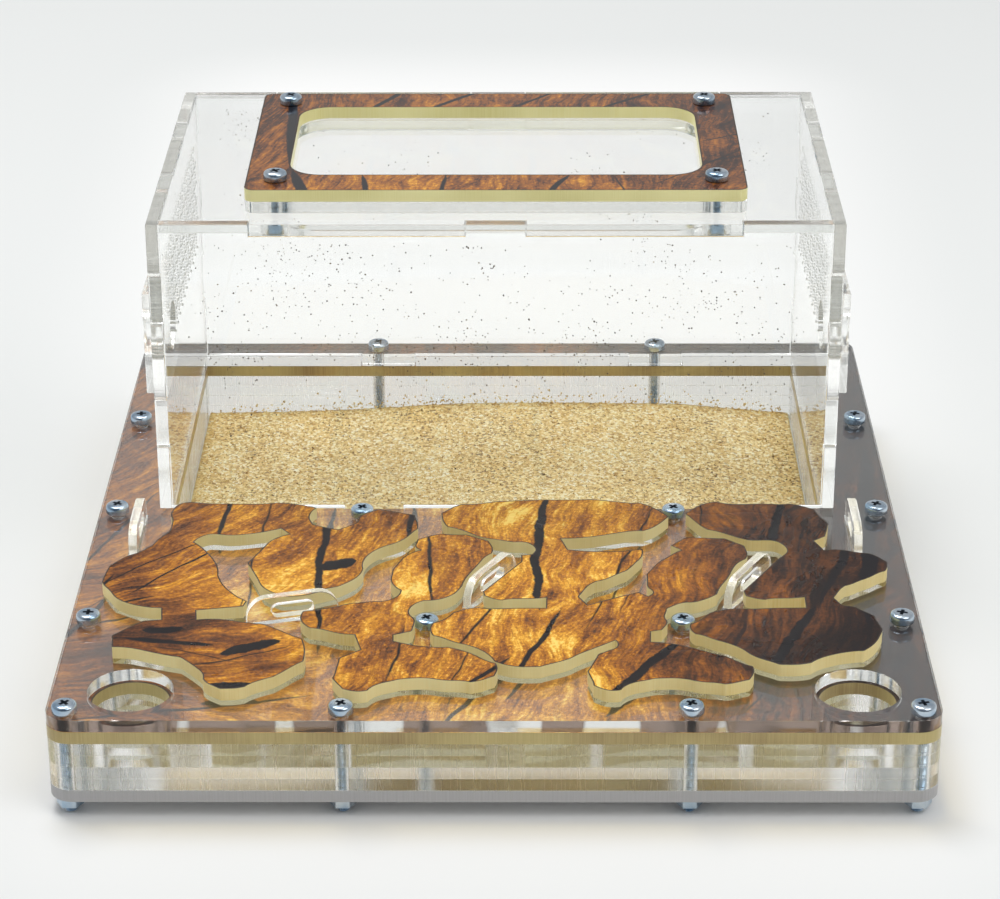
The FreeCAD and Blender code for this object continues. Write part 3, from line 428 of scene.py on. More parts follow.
def frosted_acrylic():
    """White frosted sheet: light scatters in it, and its surface has a fine even grain."""
    material, graph, shader = start_material("frosted_acrylic")
    place = own_place(graph)
    grain = graph.noise(place, 3.0, 3.0, 0.6)
    cut = graph.group(CUT_EDGE, {"Place": place, "Pitch": 0.5})
    tone = graph.blend(graph.noise(place, 0.05, 2.0), (0.74, 0.75, 0.78), (0.82, 0.83, 0.85))
    edge_tone = graph.blend(graph.spread(cut["Lines"], 0.35, 0.65), (0.4, 0.395, 0.4), (0.47, 0.465, 0.475))
    graph.fill(shader, {"Base Color": graph.blend(cut["Edge"], tone, edge_tone),
                        "Roughness": graph.spread(grain, 0.2, 0.8, 0.38, 0.52),
                        "Normal": graph.bump(grain, 0.25, 0.05 * MM), "IOR": ACRYLIC_IOR})
    return material


def printed_acrylic(name, print_tree, gloss, shine, edge_tones, film=None):
    """Translucent yellow sheet with the wood print on its upper face.

    Where a film is given, each face lets that share of the light through to what lies below."""
    material, graph, shader = start_material(name)
    place = own_place(graph)
    printed = graph.group(print_tree, {"Place": place})["Color"]
    cut = graph.group(CUT_EDGE, {"Place": place, "Pitch": 0.3})
    slope = graph.split(face_direction(graph))["Z"]
    top, underside = graph.spread(slope, 0.5, 0.8), graph.spread(slope, -0.5, -0.8)
    cloud = graph.spread(graph.noise(place, 0.045, 2.0), 0.3, 0.7)
    dark, light, lit_line = edge_tones
    yellow = graph.blend(cloud, dark, light)
    lined = graph.blend(graph.spread(cut["Lines"], 0.3, 0.7, 0.0, 0.4), yellow, lit_line)
    unprinted_with_painted_glow = graph.blend(underside, lined, UNPRINTED_WITH_PAINTED_GLOW)
    haze = graph.group(HAZE, {"Place": place, "Size": 22.0})["Haze"]
    rough_print = graph.times_plus(haze, 0.1, gloss)
    relief = graph.noise(place, 2.2, 3.0, 0.6)
    height = graph.times_plus(relief, graph.times(top, 0.5), graph.times(cut["Lines"], cut["Edge"]))
    graph.fill(shader, {"Base Color": graph.blend(top, unprinted_with_painted_glow, printed),
                        "Roughness": graph.add("Mix", {0: top, 2: 0.3, 3: rough_print}).outputs[0],
                        "Normal": graph.bump(height, 0.3, 0.05 * MM),
                        "IOR": ACRYLIC_IOR, "Specular IOR Level": shine,
                        # painted glow: the cut edges give off their own lined yellow as light
                        "Emission Color": graph.blend(cut["Edge"], BLACK, lined),
                        "Emission Strength": PAINTED_EDGE_GLOW})
    if film:
        let_light_through(graph, shader, film)
    return material


def soot_and_shade(name, size, detail, dark, light, smooth, rough, metal=0.0, soot_and_shade_part=(0.0, 1.0)):
    """A dull surface that varies in a fine cloud between two tones; it serves for scorch, for cut walls and
    for painted shade in a recess.
    """
    material, graph, shader = start_material(name)
    soot_and_shade_cloud = graph.noise(own_place(graph), size, detail, 0.6)
    graph.fill(shader, {"Base Color": graph.blend(graph.spread(soot_and_shade_cloud, *soot_and_shade_part), dark, light),
                        "Roughness": graph.spread(soot_and_shade_cloud, 0.3, 0.7, smooth, rough), "Metallic": metal})
    return material


def zinc_steel():
    """Bright zinc plating with a blue passivation, finely scratched."""
    material, graph, shader = start_material("zinc_steel")
    place = own_place(graph)
    tint = graph.noise(place, 0.22, 2.0, 0.5)
    scratch = graph.noise(place, 5.0, 4.0, 0.7)
    colour = graph.blend(graph.spread(tint, 0.35, 0.65), (0.31, 0.44, 0.58), (0.62, 0.69, 0.76))
    graph.fill(shader, {"Base Color": colour, "Roughness": graph.spread(scratch, 0.3, 0.7, 0.14, 0.3),
                        "Normal": graph.bump(scratch, 0.12, 0.03 * MM), "Metallic": 1.0})
    return material


def sand_grain():
    """Quartz sand: every grain has a tone of its own, from white through tan to dark."""
    material, graph, shader = start_material("sand_grain")
    place = own_place(graph)
    cells = graph.add("TexVoronoi", {"Vector": place, "Scale": 1.7, "Randomness": 1.0}).outputs
    own_tone = graph.add("SeparateColor", {0: cells["Color"]}).outputs[0]
    cloud = graph.noise(place, 0.05, 2.0)
    tone = graph.plus(own_tone, graph.spread(cloud, 0.3, 0.7, -0.1, 0.1), clamp=True)
    graph.fill(shader, {"Base Color": graph.steps(tone, SAND_TONES),
                        "Roughness": graph.spread(own_tone, 0.0, 1.0, 0.45, 0.8),
                        "Normal": graph.bump(cells["Distance"], 0.45, 0.16 * MM)})
    return material


def dark_speck():
    """Grit and dust that sticks to the inside of the arena."""
    material, graph, shader = start_material("dark_speck")
    tone = graph.noise(own_place(graph), 0.4, 2.0, 0.6)
    graph.fill(shader, {"Base Color": graph.steps(tone, GRIT_TONES),
                        "Roughness": graph.spread(tone, 0.3, 0.7, 0.5, 0.8)})
    return material


# ---------------- mesh helpers

def put_in_scene(name, data):
    item = bpy.data.objects.new(name, data)
    bpy.context.scene.collection.objects.link(item)
    return item


def add_piece(name, mesh, body, slot, material, *replaced):
    """Puts a finished mesh in the scene as a piece of the habitat."""
    piece = put_in_scene(name, mesh)
    mesh.materials.append(material)
    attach(piece, body)
    if replaced:
        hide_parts(*replaced)
    return piece


def clad(node, material):
    """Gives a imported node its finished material."""
    slots = frame["nodes"][node].data.materials
    slots.clear()
    slots.append(material)


def mesh_from(form, name):
    mesh = bpy.data.meshes.new(name)
    form.to_mesh(mesh)
    form.free()
    return mesh


def cut_away(blank, cutters):
    """The mesh that is left of a blank once every cutter is taken out of it; the cutters are removed."""
    for cutter in cutters:
        cut = blank.modifiers.new("cut", "BOOLEAN")
        cut.operation = "DIFFERENCE"
        cut.solver = "EXACT"
        cut.object = cutter
    bpy.context.view_layer.update()
    left = bpy.data.meshes.new_from_object(blank.evaluated_get(bpy.context.evaluated_depsgraph_get()))
    blank.modifiers.clear()
    for cutter in cutters:
        bpy.data.objects.remove(cutter)
    return left


def welded_form(node):
    form = bmesh.new()
    form.from_mesh(frame["nodes"][node].data)
    bmesh.ops.remove_doubles(form, verts=form.verts, dist=WELD)
    return form


def joined_form(node):
    """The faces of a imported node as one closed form, with its flat faces whole."""
    form = welded_form(node)
    bmesh.ops.dissolve_limit(form, angle_limit=FLAT_ANGLE, verts=form.verts, edges=form.edges)
    form.normal_update()
    return form


def mark_sharp_edges(form):
    for edge in form.edges:
        edge.smooth = len(edge.link_faces) == 2 and edge.calc_face_angle(math.pi) < SMOOTH_ANGLE


def smooth_curved_sides(form, thin_axis):
    """Flat faces stay flat, and the curved sides of a sheet are shaded round."""
    form.normal_update()
    for face in form.faces:
        face.smooth = abs(face.normal.dot(thin_axis)) < 0.2
    mark_sharp_edges(form)


def clear_sheet(node, name, material, thin_axis, body="nest", broken_edge=BROKEN_EDGE):
    """A clear sheet with an air film round it and its sharp edges broken."""
    form = joined_form(node)
    offsets = [(vertex, vertex.normal * (AIR_FILM * vertex.calc_shell_factor())) for vertex in form.verts]
    for vertex, offset in offsets:
        vertex.co -= offset
    if broken_edge:
        sharp = [edge for edge in form.edges
                 if len(edge.link_faces) == 2 and edge.calc_face_angle(0) > SHARP_ANGLE]
        bmesh.ops.bevel(form, geom=sharp, offset=broken_edge, offset_type="OFFSET", segments=1,
                        profile=0.5, affect="EDGES", clamp_overlap=True)
    smooth_curved_sides(form, thin_axis)
    return add_piece(name, mesh_from(form, name), body, "clear_acrylic", material, node)


def broad_face_axis(node):
    """The direction across a flat sheet, which its largest face points along."""
    form = joined_form(node)
    axis = max(form.faces, key=lambda face: face.calc_area()).normal.copy()
    form.free()
    return axis


def held(value, low, high):
    return min(max(value, low), high)


def runs_past_gate(start, end):
    """Whether a stretch of a plate's outline passes close by a gate."""
    spots = [start.lerp(end, step / 8) for step in range(9)]
    return any(low.x - GATE_ROOM < spot.x < high.x + GATE_ROOM
               and low.y - GATE_ROOM < spot.y < high.y + GATE_ROOM
               for low, high in GATE_BOXES for spot in spots)


def smooth_corners(loop):
    """A closed outline with its shallow corners rounded through the same points, but not beside a gate."""
    steps = [after - point for point, after in zip(loop, loop[1:] + loop[:1])]
    pairs = list(zip(steps[-1:] + steps[:-1], steps))
    sharp = [abs(before.angle_signed(step, 0.0)) > CORNER_ANGLE for before, step in pairs]
    lean = [(before / before.length_squared + step / step.length_squared).normalized()
            for before, step in pairs]
    rounded = []
    for at, step in enumerate(steps):
        after = (at + 1) % len(loop)
        unit = step.normalized()
        leaving, arriving = lean[at], lean[after]
        if sharp[at]:
            leaving = unit if sharp[after] else unit * (2 * unit.dot(arriving)) - arriving
        if sharp[after]:
            arriving = unit if sharp[at] else unit * (2 * unit.dot(leaving)) - leaving
        parts = max(1, math.ceil(leaving.angle(arriving, 0.0) / ROUND_STEP))
        if runs_past_gate(loop[at], loop[after]):
            parts = 1
        for part in range(parts):
            t = part / parts
            pull, push = t * (1 - t) ** 2 * step.length, -t * t * (1 - t) * step.length
            along = loop[at] + step * (t * t * (3 - 2 * t))
            rounded.append(along + leaving * pull + arriving * push)
    return rounded


def plate_form(node):
    """A loose plate with the smooth outline of its cut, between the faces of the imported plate."""
    packed = joined_form(node)
    low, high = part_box(node)
    face = max((face for face in packed.faces if face.normal.z > 0.9), key=lambda face: face.calc_area())
    outline = smooth_corners([vertex.co.xy for vertex in face.verts])
    packed.free()
    form = bmesh.new()
    top = form.faces.new([form.verts.new((*point, high.z)) for point in outline])
    floor = form.faces.new([form.verts.new((*point, low.z)) for point in reversed(outline)])
    count = len(outline)
    for at in range(count):
        after = (at + 1) % count
        form.faces.new((top.verts[after], top.verts[at],
                        floor.verts[count - 1 - at], floor.verts[count - 1 - after]))
    form.normal_update()
    return form


def loose_plate(node):
    """A printed shade plate and the scorched line round its face."""
    form = plate_form(node)
    smooth_curved_sides(form, UPRIGHT)
    add_piece("printed_" + node, mesh_from(form, node), node, "printed_acrylic", PLATE_PRINTED, node)
    scorched_outline(plate_form(node), node + "_burnt_line", node, PLATE_SCORCH)


def scorched_outline(form, name, body, width, only_round=None):
    """A thin dark line just above a printed face, along every cut of it or only round the given points."""
    top = max(vertex.co.z for vertex in form.verts)
    other = [face for face in form.faces if face.normal.z < 0.9 or face.calc_center_median().z < top - 1e-5]
    bmesh.ops.delete(form, geom=other, context="FACES")
    strip = bmesh.ops.inset_region(form, faces=form.faces[:], thickness=width, depth=0.0,
                                   use_even_offset=True, use_boundary=True)["faces"]
    keep = set(strip)
    if only_round:
        keep = {face for face in keep
                if any((face.calc_center_median().xy - point).length < PORT_REACH for point in only_round)}
    bmesh.ops.delete(form, geom=[face for face in form.faces if face not in keep], context="FACES")
    bmesh.ops.translate(form, verts=form.verts, vec=(0.0, 0.0, SCORCH_LIFT))
    add_piece(name, mesh_from(form, name), body, "printed_acrylic", BURNT)


def islands(node):
    """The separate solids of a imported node: lowest and highest corner of each."""
    form = welded_form(node)
    seen = set()
    boxes = []
    for start in form.verts:
        if start in seen:
            continue
        seen.add(start)
        solid = [start]
        for vertex in solid:
            fresh = {edge.other_vert(vertex) for edge in vertex.link_edges} - seen
            seen |= fresh
            solid.extend(fresh)
        corners = np.array([vertex.co for vertex in solid])
        boxes.append((Vector(corners.min(0)), Vector(corners.max(0))))
    form.free()
    return boxes


def round_point(form, radius, angle, height):
    return form.verts.new((radius * math.cos(angle), radius * math.sin(angle), height))


def lathe(form, profile, turns):
    """Revolves (radius, height) points about the Z axis into a closed form."""
    rings = [[round_point(form, radius, step * math.tau / turns, height)
              for step in range(turns if radius else 1)] for radius, height in profile]
    for lower, upper in zip(rings, rings[1:]):
        for step in range(turns):
            after = (step + 1) % turns
            corners = [lower[step % len(lower)], lower[after % len(lower)],
                       upper[after % len(upper)], upper[step % len(upper)]]
            unique = list(dict.fromkeys(corners))
            if len(unique) > 2:
                form.faces.new(unique)


# ---------------- fasteners

THREAD_PITCH = 0.5 * MM
THREAD_DEPTH = 0.26 * MM
THREAD_STEPS = 20
HEAD_STEPS = 40
HEAD_HEIGHT = 2.4 * MM
SHANK_RADIUS = 1.5 * MM
SHANK_SEAT = 0.05 * MM  # how far the shank reaches into its head
HEAD_PROFILE = ((0.0, 0.0), (0.95, 0.0), (1.0, 0.08), (1.0, 0.56), (0.98, 0.72), (0.93, 0.84), (0.83, 0.93),
                (0.66, 0.98), (0.35, 1.0), (0.0, 1.0))    # shares of the head's radius and height
RECESS_LENGTH = 3.3 * MM
RECESS_WIDTH = 0.95 * MM
RECESS_DEPTH = 1.3 * MM
RECESS_SHADE = 0.3 * MM  # painted shade: how far down the recess turns dark


def head_mesh(radius, low, high):
    """A pan head with a rounded rim, a low crown and a tapered cross recess."""
    form = bmesh.new()
    lathe(form, [(radius * across, low + (high - low) * up) for across, up in HEAD_PROFILE], HEAD_STEPS)
    bmesh.ops.recalc_face_normals(form, faces=form.faces)
    blank = put_in_scene("head_blank", mesh_from(form, "head_blank"))
    cutters = []
    for turn in (0, 1):
        form = bmesh.new()
        bmesh.ops.create_cube(form, size=1.0)
        for vertex in form.verts:
            taper = 1.0 if vertex.co.z > 0 else 0.55
            along = vertex.co.x * RECESS_LENGTH * taper
            across = vertex.co.y * RECESS_WIDTH * (0.35 + 0.65 * taper)
            vertex.co = Vector((along, across, high + vertex.co.z * 2 * RECESS_DEPTH))
        quarter = Matrix.Rotation(turn * math.pi / 2, 3, "Z")
        bmesh.ops.rotate(form, verts=form.verts, matrix=quarter)
        cutters.append(put_in_scene("recess_cutter", mesh_from(form, "recess_cutter")))
    finished = cut_away(blank, cutters)
    bpy.data.objects.remove(blank)
    # painted shade: faces deep in the cross recess take the darker second material
    for face in finished.polygons:
        inside = face.center.xy.length < RECESS_LENGTH / 2
        face.material_index = int(inside and low + 0.1 * MM < face.center.z < high - RECESS_SHADE)
    return finished


def thread_rings(form, radius, low, high):
    """A threaded shank: one ridge that climbs round a core, with flat ends."""
    turns = max(1, round((high - low) / THREAD_PITCH))
    rows = []
    for row in range(turns * 2 + 3):
        ring = []
        for step in range(THREAD_STEPS):
            height = low + (row - 1) * THREAD_PITCH / 2 + THREAD_PITCH * step / THREAD_STEPS
            inside = held(height, low, high)
            depth = THREAD_DEPTH if row % 2 or inside != height else 0.0
            ring.append(round_point(form, radius - depth, step * math.tau / THREAD_STEPS, inside))
        rows.append(ring)
    for lower, upper in zip(rows, rows[1:]):
        for step in range(THREAD_STEPS):
            after = (step + 1) % THREAD_STEPS
            form.faces.new((lower[step], lower[after], upper[after], upper[step]))
    form.faces.new(list(reversed(rows[0])))
    form.faces.new(rows[-1])


def screw_set(node, name, body):
    """Every screw of a group: pan head, cross recess and thread, turned each its own way."""
    dice = random.Random(len(name))
    boxes = islands(node)
    low, high = boxes[0][0].z, boxes[0][1].z
    radius = (boxes[0][1].x - boxes[0][0].x) / 2
    head = head_mesh(radius, high - HEAD_HEIGHT, high)
    form = bmesh.new()
    for corner_low, corner_high in boxes:
        start = len(form.verts)
        form.from_mesh(head)
        thread_rings(form, SHANK_RADIUS, low, high - HEAD_HEIGHT + SHANK_SEAT)
        form.verts.ensure_lookup_table()
        own = form.verts[start:]
        turned = Matrix.Rotation(dice.uniform(0, math.pi / 2), 3, "Z")
        bmesh.ops.rotate(form, verts=own, matrix=turned)
        middle = (corner_low + corner_high) / 2
        bmesh.ops.translate(form, verts=own, vec=(middle.x, middle.y, 0.0))
    form.normal_update()
    for face in form.faces:
        face.smooth = True
    mark_sharp_edges(form)
    screws = add_piece(name, mesh_from(form, name), body, "zinc_steel", ZINC, node)
    # the second material is the painted shade in the cross recesses
    screws.data.materials.append(ZINC_SHADED)
    return screws


# ---------------- sand

SAND_CELL = 0.7 * MM
SAND_RIPPLE = 0.24 * MM
SAND_INSET = 0.02 * MM  # the bed stands this far off the recess's walls
GRAIN_SINK = 0.1 * MM  # how deep a loose grain sits in the bed
GRAIN_COUNT = 5200
GRAIN_LEAST = 0.18 * MM
GRAIN_MOST = 0.42 * MM
CLINGING = 420  # grains that stick to the recess's rear wall, and how far up
CLIMB = 1.3 * MM
WALL_GRAINS_TOP = 18.0 * MM
SHEET = 3.0 * MM
SPECK_COUNT = 1500
SPECK_CLUSTERS = 60
SPECK_REACH = 76 * MM  # half the width that they lie in, and their lowest common height
SPECK_LOW = 60 * MM
SPECK_DRIFT = (5 * MM, 4 * MM)  # how far specks stray from their cluster, sideways and upward
SPECK_LEAST = 0.09 * MM
SPECK_MOST = 0.24 * MM


def grain_cloud(places, sizes, dice):
    """One mesh of many small uneven grains."""
    form = bmesh.new()
    bmesh.ops.create_icosphere(form, subdivisions=1, radius=1.0)
    form.verts.ensure_lookup_table()
    template = np.array([vertex.co[:] for vertex in form.verts])
    corners = np.array([[vertex.index for vertex in face.verts] for face in form.faces])
    form.free()
    count = len(places)
    stretch = dice.uniform(0.65, 1.25, (count, 1, 3))
    uneven = dice.uniform(0.8, 1.2, (count, len(template), 1))
    points = np.array(places)[:, None, :] + template[None] * stretch * uneven * np.array(sizes)[:, None, None]
    faces = corners[None] + (np.arange(count) * len(template))[:, None, None]
    mesh = bpy.data.meshes.new("grains")
    mesh.from_pydata(points.reshape(-1, 3).tolist(), [], faces.reshape(-1, 3).tolist())
    return mesh


def straight_down(tree, x, y):
    """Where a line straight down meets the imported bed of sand."""
    return tree.ray_cast(Vector((x, y, SAND_HIGH.z + MM)), Vector((0, 0, -1)))[0]


def sand_surface(tree, dice):
    """The bed of sand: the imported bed's own slopes, roughened, closed below."""
    columns = int((SAND_HIGH.x - SAND_LOW.x) / SAND_CELL)
    rows = int((SAND_HIGH.y - SAND_LOW.y) / SAND_CELL)
    across = np.linspace(SAND_LOW.x + SAND_INSET, SAND_HIGH.x - SAND_INSET, columns + 1)
    along = np.linspace(SAND_LOW.y + SAND_INSET, SAND_HIGH.y - SAND_INSET, rows + 1)
    rough = dice.uniform(-1.0, 0.0, (columns + 1, rows + 1))
    form = bmesh.new()
    grid = []
    for column, x in enumerate(across):
        line = []
        for row, y in enumerate(along):
            hit = straight_down(tree, held(x, SAND_LOW.x + SAND_CELL, SAND_HIGH.x - SAND_CELL),
                                held(y, SAND_LOW.y + SAND_CELL, SAND_HIGH.y - SAND_CELL))
            height = hit.z if hit else SAND_LOW.z + MM
            line.append(form.verts.new((x, y, height + rough[column, row] * SAND_RIPPLE)))
        grid.append(line)
    floor = [[form.verts.new((x, y, SAND_LOW.z)) for y in (along[0], along[-1])]
             for x in (across[0], across[-1])]
    for column in range(columns):
        for row in range(rows):
            form.faces.new((grid[column][row], grid[column + 1][row],
                            grid[column + 1][row + 1], grid[column][row + 1]))
    left, right = grid[0], grid[-1]
    front, rear = [line[0] for line in grid], [line[-1] for line in grid]
    form.faces.new([floor[0][0]] + left + [floor[0][1]])
    form.faces.new([floor[1][1]] + right[::-1] + [floor[1][0]])
    form.faces.new([floor[1][0]] + front[::-1] + [floor[0][0]])
    form.faces.new([floor[0][1]] + rear + [floor[1][1]])
    form.faces.new((floor[0][0], floor[0][1], floor[1][1], floor[1][0]))
    bmesh.ops.recalc_face_normals(form, faces=form.faces)
    for face in form.faces:
        face.smooth = len(face.verts) == 4
    return mesh_from(form, "sand_surface")


def make_sand():
    """The sand bed with loose grains on it, and a few grains that cling to the walls."""
    dice = np.random.default_rng(7)
    form = bmesh.new()
    form.from_mesh(frame["nodes"]["sand_bed"].data)
    tree = BVHTree.FromBMesh(form)
    form.free()
    add_piece("sand_surface", sand_surface(tree, dice), "nest", "sand", SAND, "sand_bed")
    places = []
    sizes = []
    for x, y, share in dice.uniform(0, 1, (GRAIN_COUNT, 3)):
        size = GRAIN_LEAST + (GRAIN_MOST - GRAIN_LEAST) * share
        px = SAND_LOW.x + size * 2 + x * (SAND_HIGH.x - SAND_LOW.x - size * 4)
        py = SAND_LOW.y + size * 2 + y * (SAND_HIGH.y - SAND_LOW.y - size * 4)
        hit = straight_down(tree, px, py)
        if hit:
            places.append((px, py, hit.z - GRAIN_SINK))
            sizes.append(size)
    for along, share, rise in zip(dice.uniform(-1, 1, CLINGING), dice.uniform(0, 1, CLINGING),
                                  dice.exponential(CLIMB, CLINGING)):
        size = GRAIN_LEAST + (GRAIN_MOST - GRAIN_LEAST) * share * 0.6
        spot = Vector((along * (SAND_HIGH.x - 2 * MM), SAND_HIGH.y - size * 1.3))
        hit = straight_down(tree, *spot)
        if hit:
            places.append((*spot, min(hit.z + rise, WALL_GRAINS_TOP)))
            sizes.append(size)
    add_piece("sand_grains", grain_cloud(places, sizes, dice), "nest", "sand", SAND)


def make_specks():
    """Small grains stuck to the inside of the front and rear walls, in loose clusters."""
    dice = np.random.default_rng(11)
    front, rear = FRONT_WALL_LOW.y + SHEET, REAR_WALL_BACK - SHEET
    low, high = COVER_TOP + MM, FRONT_WALL_HIGH.z - 2 * SHEET
    places = []
    sizes = []
    clusters = dice.uniform(0, 1, (SPECK_CLUSTERS, 2))
    for number in range(SPECK_COUNT):
        spread = dice.normal(0, 1, 2)
        centre = clusters[number % SPECK_CLUSTERS]
        x = SPECK_REACH * (2 * centre[0] - 1) + SPECK_DRIFT[0] * spread[0]
        z = SPECK_LOW + (high - SPECK_LOW) * centre[1] + SPECK_DRIFT[1] * spread[1]
        if number % 5 == 0:
            z = low + (high - low) * abs(math.sin(number))
        if not (abs(x) < SPECK_REACH and low < z < high):
            continue
        size = dice.uniform(SPECK_LEAST, SPECK_MOST)
        side = front + size * 0.7 if number % 4 else rear - size * 0.7
        places.append((x, side, z))
        sizes.append(size)
    add_piece("wall_specks", grain_cloud(places, sizes, dice), "nest", "sand", SPECK)


# ---------------- ventilation holes

VENT_RADIUS = 0.33 * MM
VENT_CELL = 3.4 * MM  # edge of one honeycomb cell
VENT_FRONT = 15.0 * MM
VENT_REAR = 94.0 * MM
VENT_LOW = 61.0 * MM
VENT_HIGH = 91.0 * MM
VENT_FACE = 1.7e-6  # no side of a small hole is larger, in square metres


def honeycomb_points():
    """Places of the small holes: they follow the sides of a honeycomb."""
    width = VENT_CELL * math.sqrt(3)
    points = []
    rows = int((VENT_HIGH - VENT_LOW) / (VENT_CELL * 1.5))
    columns = int((VENT_REAR - VENT_FRONT) / width)
    for row in range(rows):
        for column in range(columns):
            middle_y = VENT_FRONT + width * (column + 0.5 + 0.5 * (row % 2))
            middle_z = VENT_LOW + VENT_CELL * (1.0 + 1.5 * row)
            for corner in (0, 1, 2):
                start, end = (math.radians(90 + 60 * (corner + step)) for step in (0, 1))
                for share in (0.25, 0.5, 0.75):
                    y = middle_y + VENT_CELL * ((1 - share) * math.cos(start) + share * math.cos(end))
                    z = middle_z + VENT_CELL * ((1 - share) * math.sin(start) + share * math.sin(end))
                    if y < VENT_REAR:
                        points.append((y, z))
    return points


def vented_wall(node, name, material):
    """A side wall of the arena with its honeycomb of small ventilation holes."""
    wall = clear_sheet(node, name, material, ACROSS)
    low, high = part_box(node)
    form = bmesh.new()
    for y, z in honeycomb_points():
        made = bmesh.ops.create_cone(form, cap_ends=True, segments=6, radius1=VENT_RADIUS,
                                     radius2=VENT_RADIUS, depth=high.x - low.x + 2 * MM)["verts"]
        bmesh.ops.rotate(form, verts=made, matrix=Matrix.Rotation(math.pi / 2, 3, "Y"))
        bmesh.ops.translate(form, verts=made, vec=((low.x + high.x) / 2, y, z))
    drilled = cut_away(wall, [put_in_scene("drill", mesh_from(form, "drill"))])
    drilled.materials.clear()
    drilled.materials.append(material)
    drilled.materials.append(VENT_CUT)
    for face in drilled.polygons:
        among_holes = (VENT_FRONT - MM < face.center.y < VENT_REAR + MM
                       and VENT_LOW < face.center.z < VENT_HIGH + MM)
        face.material_index = int(among_holes and abs(face.normal.x) < 0.5 and face.area < VENT_FACE)
    wall.data = drilled


# ---------------- stage

TABLE_SIZE = 4.0
TABLE_GAP = 0.2 * MM  # keeps the feet clear of the table's surface
# Tones of the table: inside its painted pool of light, and plain further out.
FLOOR_PAINTED_LIGHT = (0.905, 0.905, 0.9)
FLOOR_FAR = (0.77, 0.783, 0.777)
PAINTED_LIGHT_MIDDLE = 0.15  # painted pool of light on the table: its middle, half size and fade
PAINTED_LIGHT_HALF = (0.072, 0.24, 1.0)
PAINTED_LIGHT_FADE = 0.085
ROOM_TONES = ((0.0, (0.72, 0.72, 0.71)), (0.35, (0.56, 0.565, 0.565)), (0.7, (0.4, 0.41, 0.42)),
              (1.0, (0.78, 0.78, 0.78)))    # from the horizon to straight up
ROOM_FRONT = (0.36, 0.36, 0.345)
ROOM_MIRRORED = (0.1, 0.125, 0.155)
ROOM_SEEN = (0.82, 0.83, 0.82)


def make_floor():
    """A plain pale table with a painted pool of light round the habitat."""
    form = bmesh.new()
    bmesh.ops.create_grid(form, x_segments=8, y_segments=8, size=TABLE_SIZE)
    floor = put_in_scene("floor", mesh_from(form, "floor"))
    floor.location.z = -TABLE_GAP
    material, graph, shader = start_material("pale_table")
    coordinates = graph.add("TexCoord").outputs["Object"]
    moved = graph.vector("SUBTRACT", coordinates, (0.0, PAINTED_LIGHT_MIDDLE, 0.0))
    outside = graph.vector("SUBTRACT", graph.vector("ABSOLUTE", moved, (0.0, 0.0, 0.0)), PAINTED_LIGHT_HALF)
    reach = graph.vector("MAXIMUM", outside, (0.0, 0.0, 0.0))
    distance = graph.add("VectorMath", {0: reach}, operation="LENGTH").outputs["Value"]
    # painted pool of light: 0 inside it, rising to 1 where the plain table begins
    beyond_painted_light = graph.spread(distance, 0.0, PAINTED_LIGHT_FADE, kind="SMOOTHSTEP")
    graph.fill(shader, {"Base Color": graph.blend(beyond_painted_light, FLOOR_PAINTED_LIGHT, FLOOR_FAR),
                        "Roughness": 0.85, "Specular IOR Level": 0.1})
    floor.data.materials.append(material)


def make_world():
    """A pale neutral room. Its front, behind the camera, is dark to what is mirrored in metal."""
    world = bpy.data.worlds.new("room")
    world.use_nodes = True
    world.node_tree.nodes.clear()
    graph = Graph(world.node_tree)
    split = graph.split(graph.add("TexCoord").outputs["Generated"])
    front = graph.spread(graph.times(split["Y"], -1.0), 0.2, 0.75)
    sky = graph.steps(graph.spread(split["Z"], -0.1, 1.0), ROOM_TONES)
    ray = graph.add("LightPath").outputs
    room = graph.blend(front, sky, graph.blend(ray["Is Glossy Ray"], ROOM_FRONT, ROOM_MIRRORED))
    seen = graph.most(ray["Is Camera Ray"], ray["Is Transmission Ray"])
    colour = graph.blend(seen, room, ROOM_SEEN)
    background = graph.add("Background", {"Color": colour, "Strength": 1.0})
    graph.add("OutputWorld", {"Surface": background.outputs[0]})
    bpy.context.scene.world = world


# Each lamp: name, place, the point that it faces, its width and its power.
LAMPS = (("key_lamp", (-0.28, 0.34, 1.25), (0.0, 0.0, 0.0), 0.58, 8.6),
         ("fill_lamp", (0.6, -0.5, 1.05), (0.0, 0.0, 0.03), 0.7, 4.0))


def add_lamp(name, place, aim, width, power):
    """A soft square lamp that faces a point."""
    data = bpy.data.lights.new(name, "AREA")
    data.shape = "RECTANGLE"
    data.size, data.size_y = width, width
    data.energy = power
    lamp = put_in_scene(name, data)
    lamp.location = place
    lamp.rotation_euler = (Vector(aim) - Vector(place)).to_track_quat("-Z", "Y").to_euler()


# ---------------- the making

place_camera()

CUT_EDGE = cut_edge_group()
HAZE = haze_group()
VEIN = vein_group()
NEST_PRINT = wood_print_group("nest_wood", NEST_VEINS, NEST_CROSS_VEINS, NEST_TONES, NEST_ROWS,
                              waver=3.6, fraying=0.55)
LID_PRINT = wood_print_group("lid_wood", LID_VEINS, LID_CROSS_VEINS, LID_TONES, LID_ROWS,
                             waver=1.4, fraying=0.3)

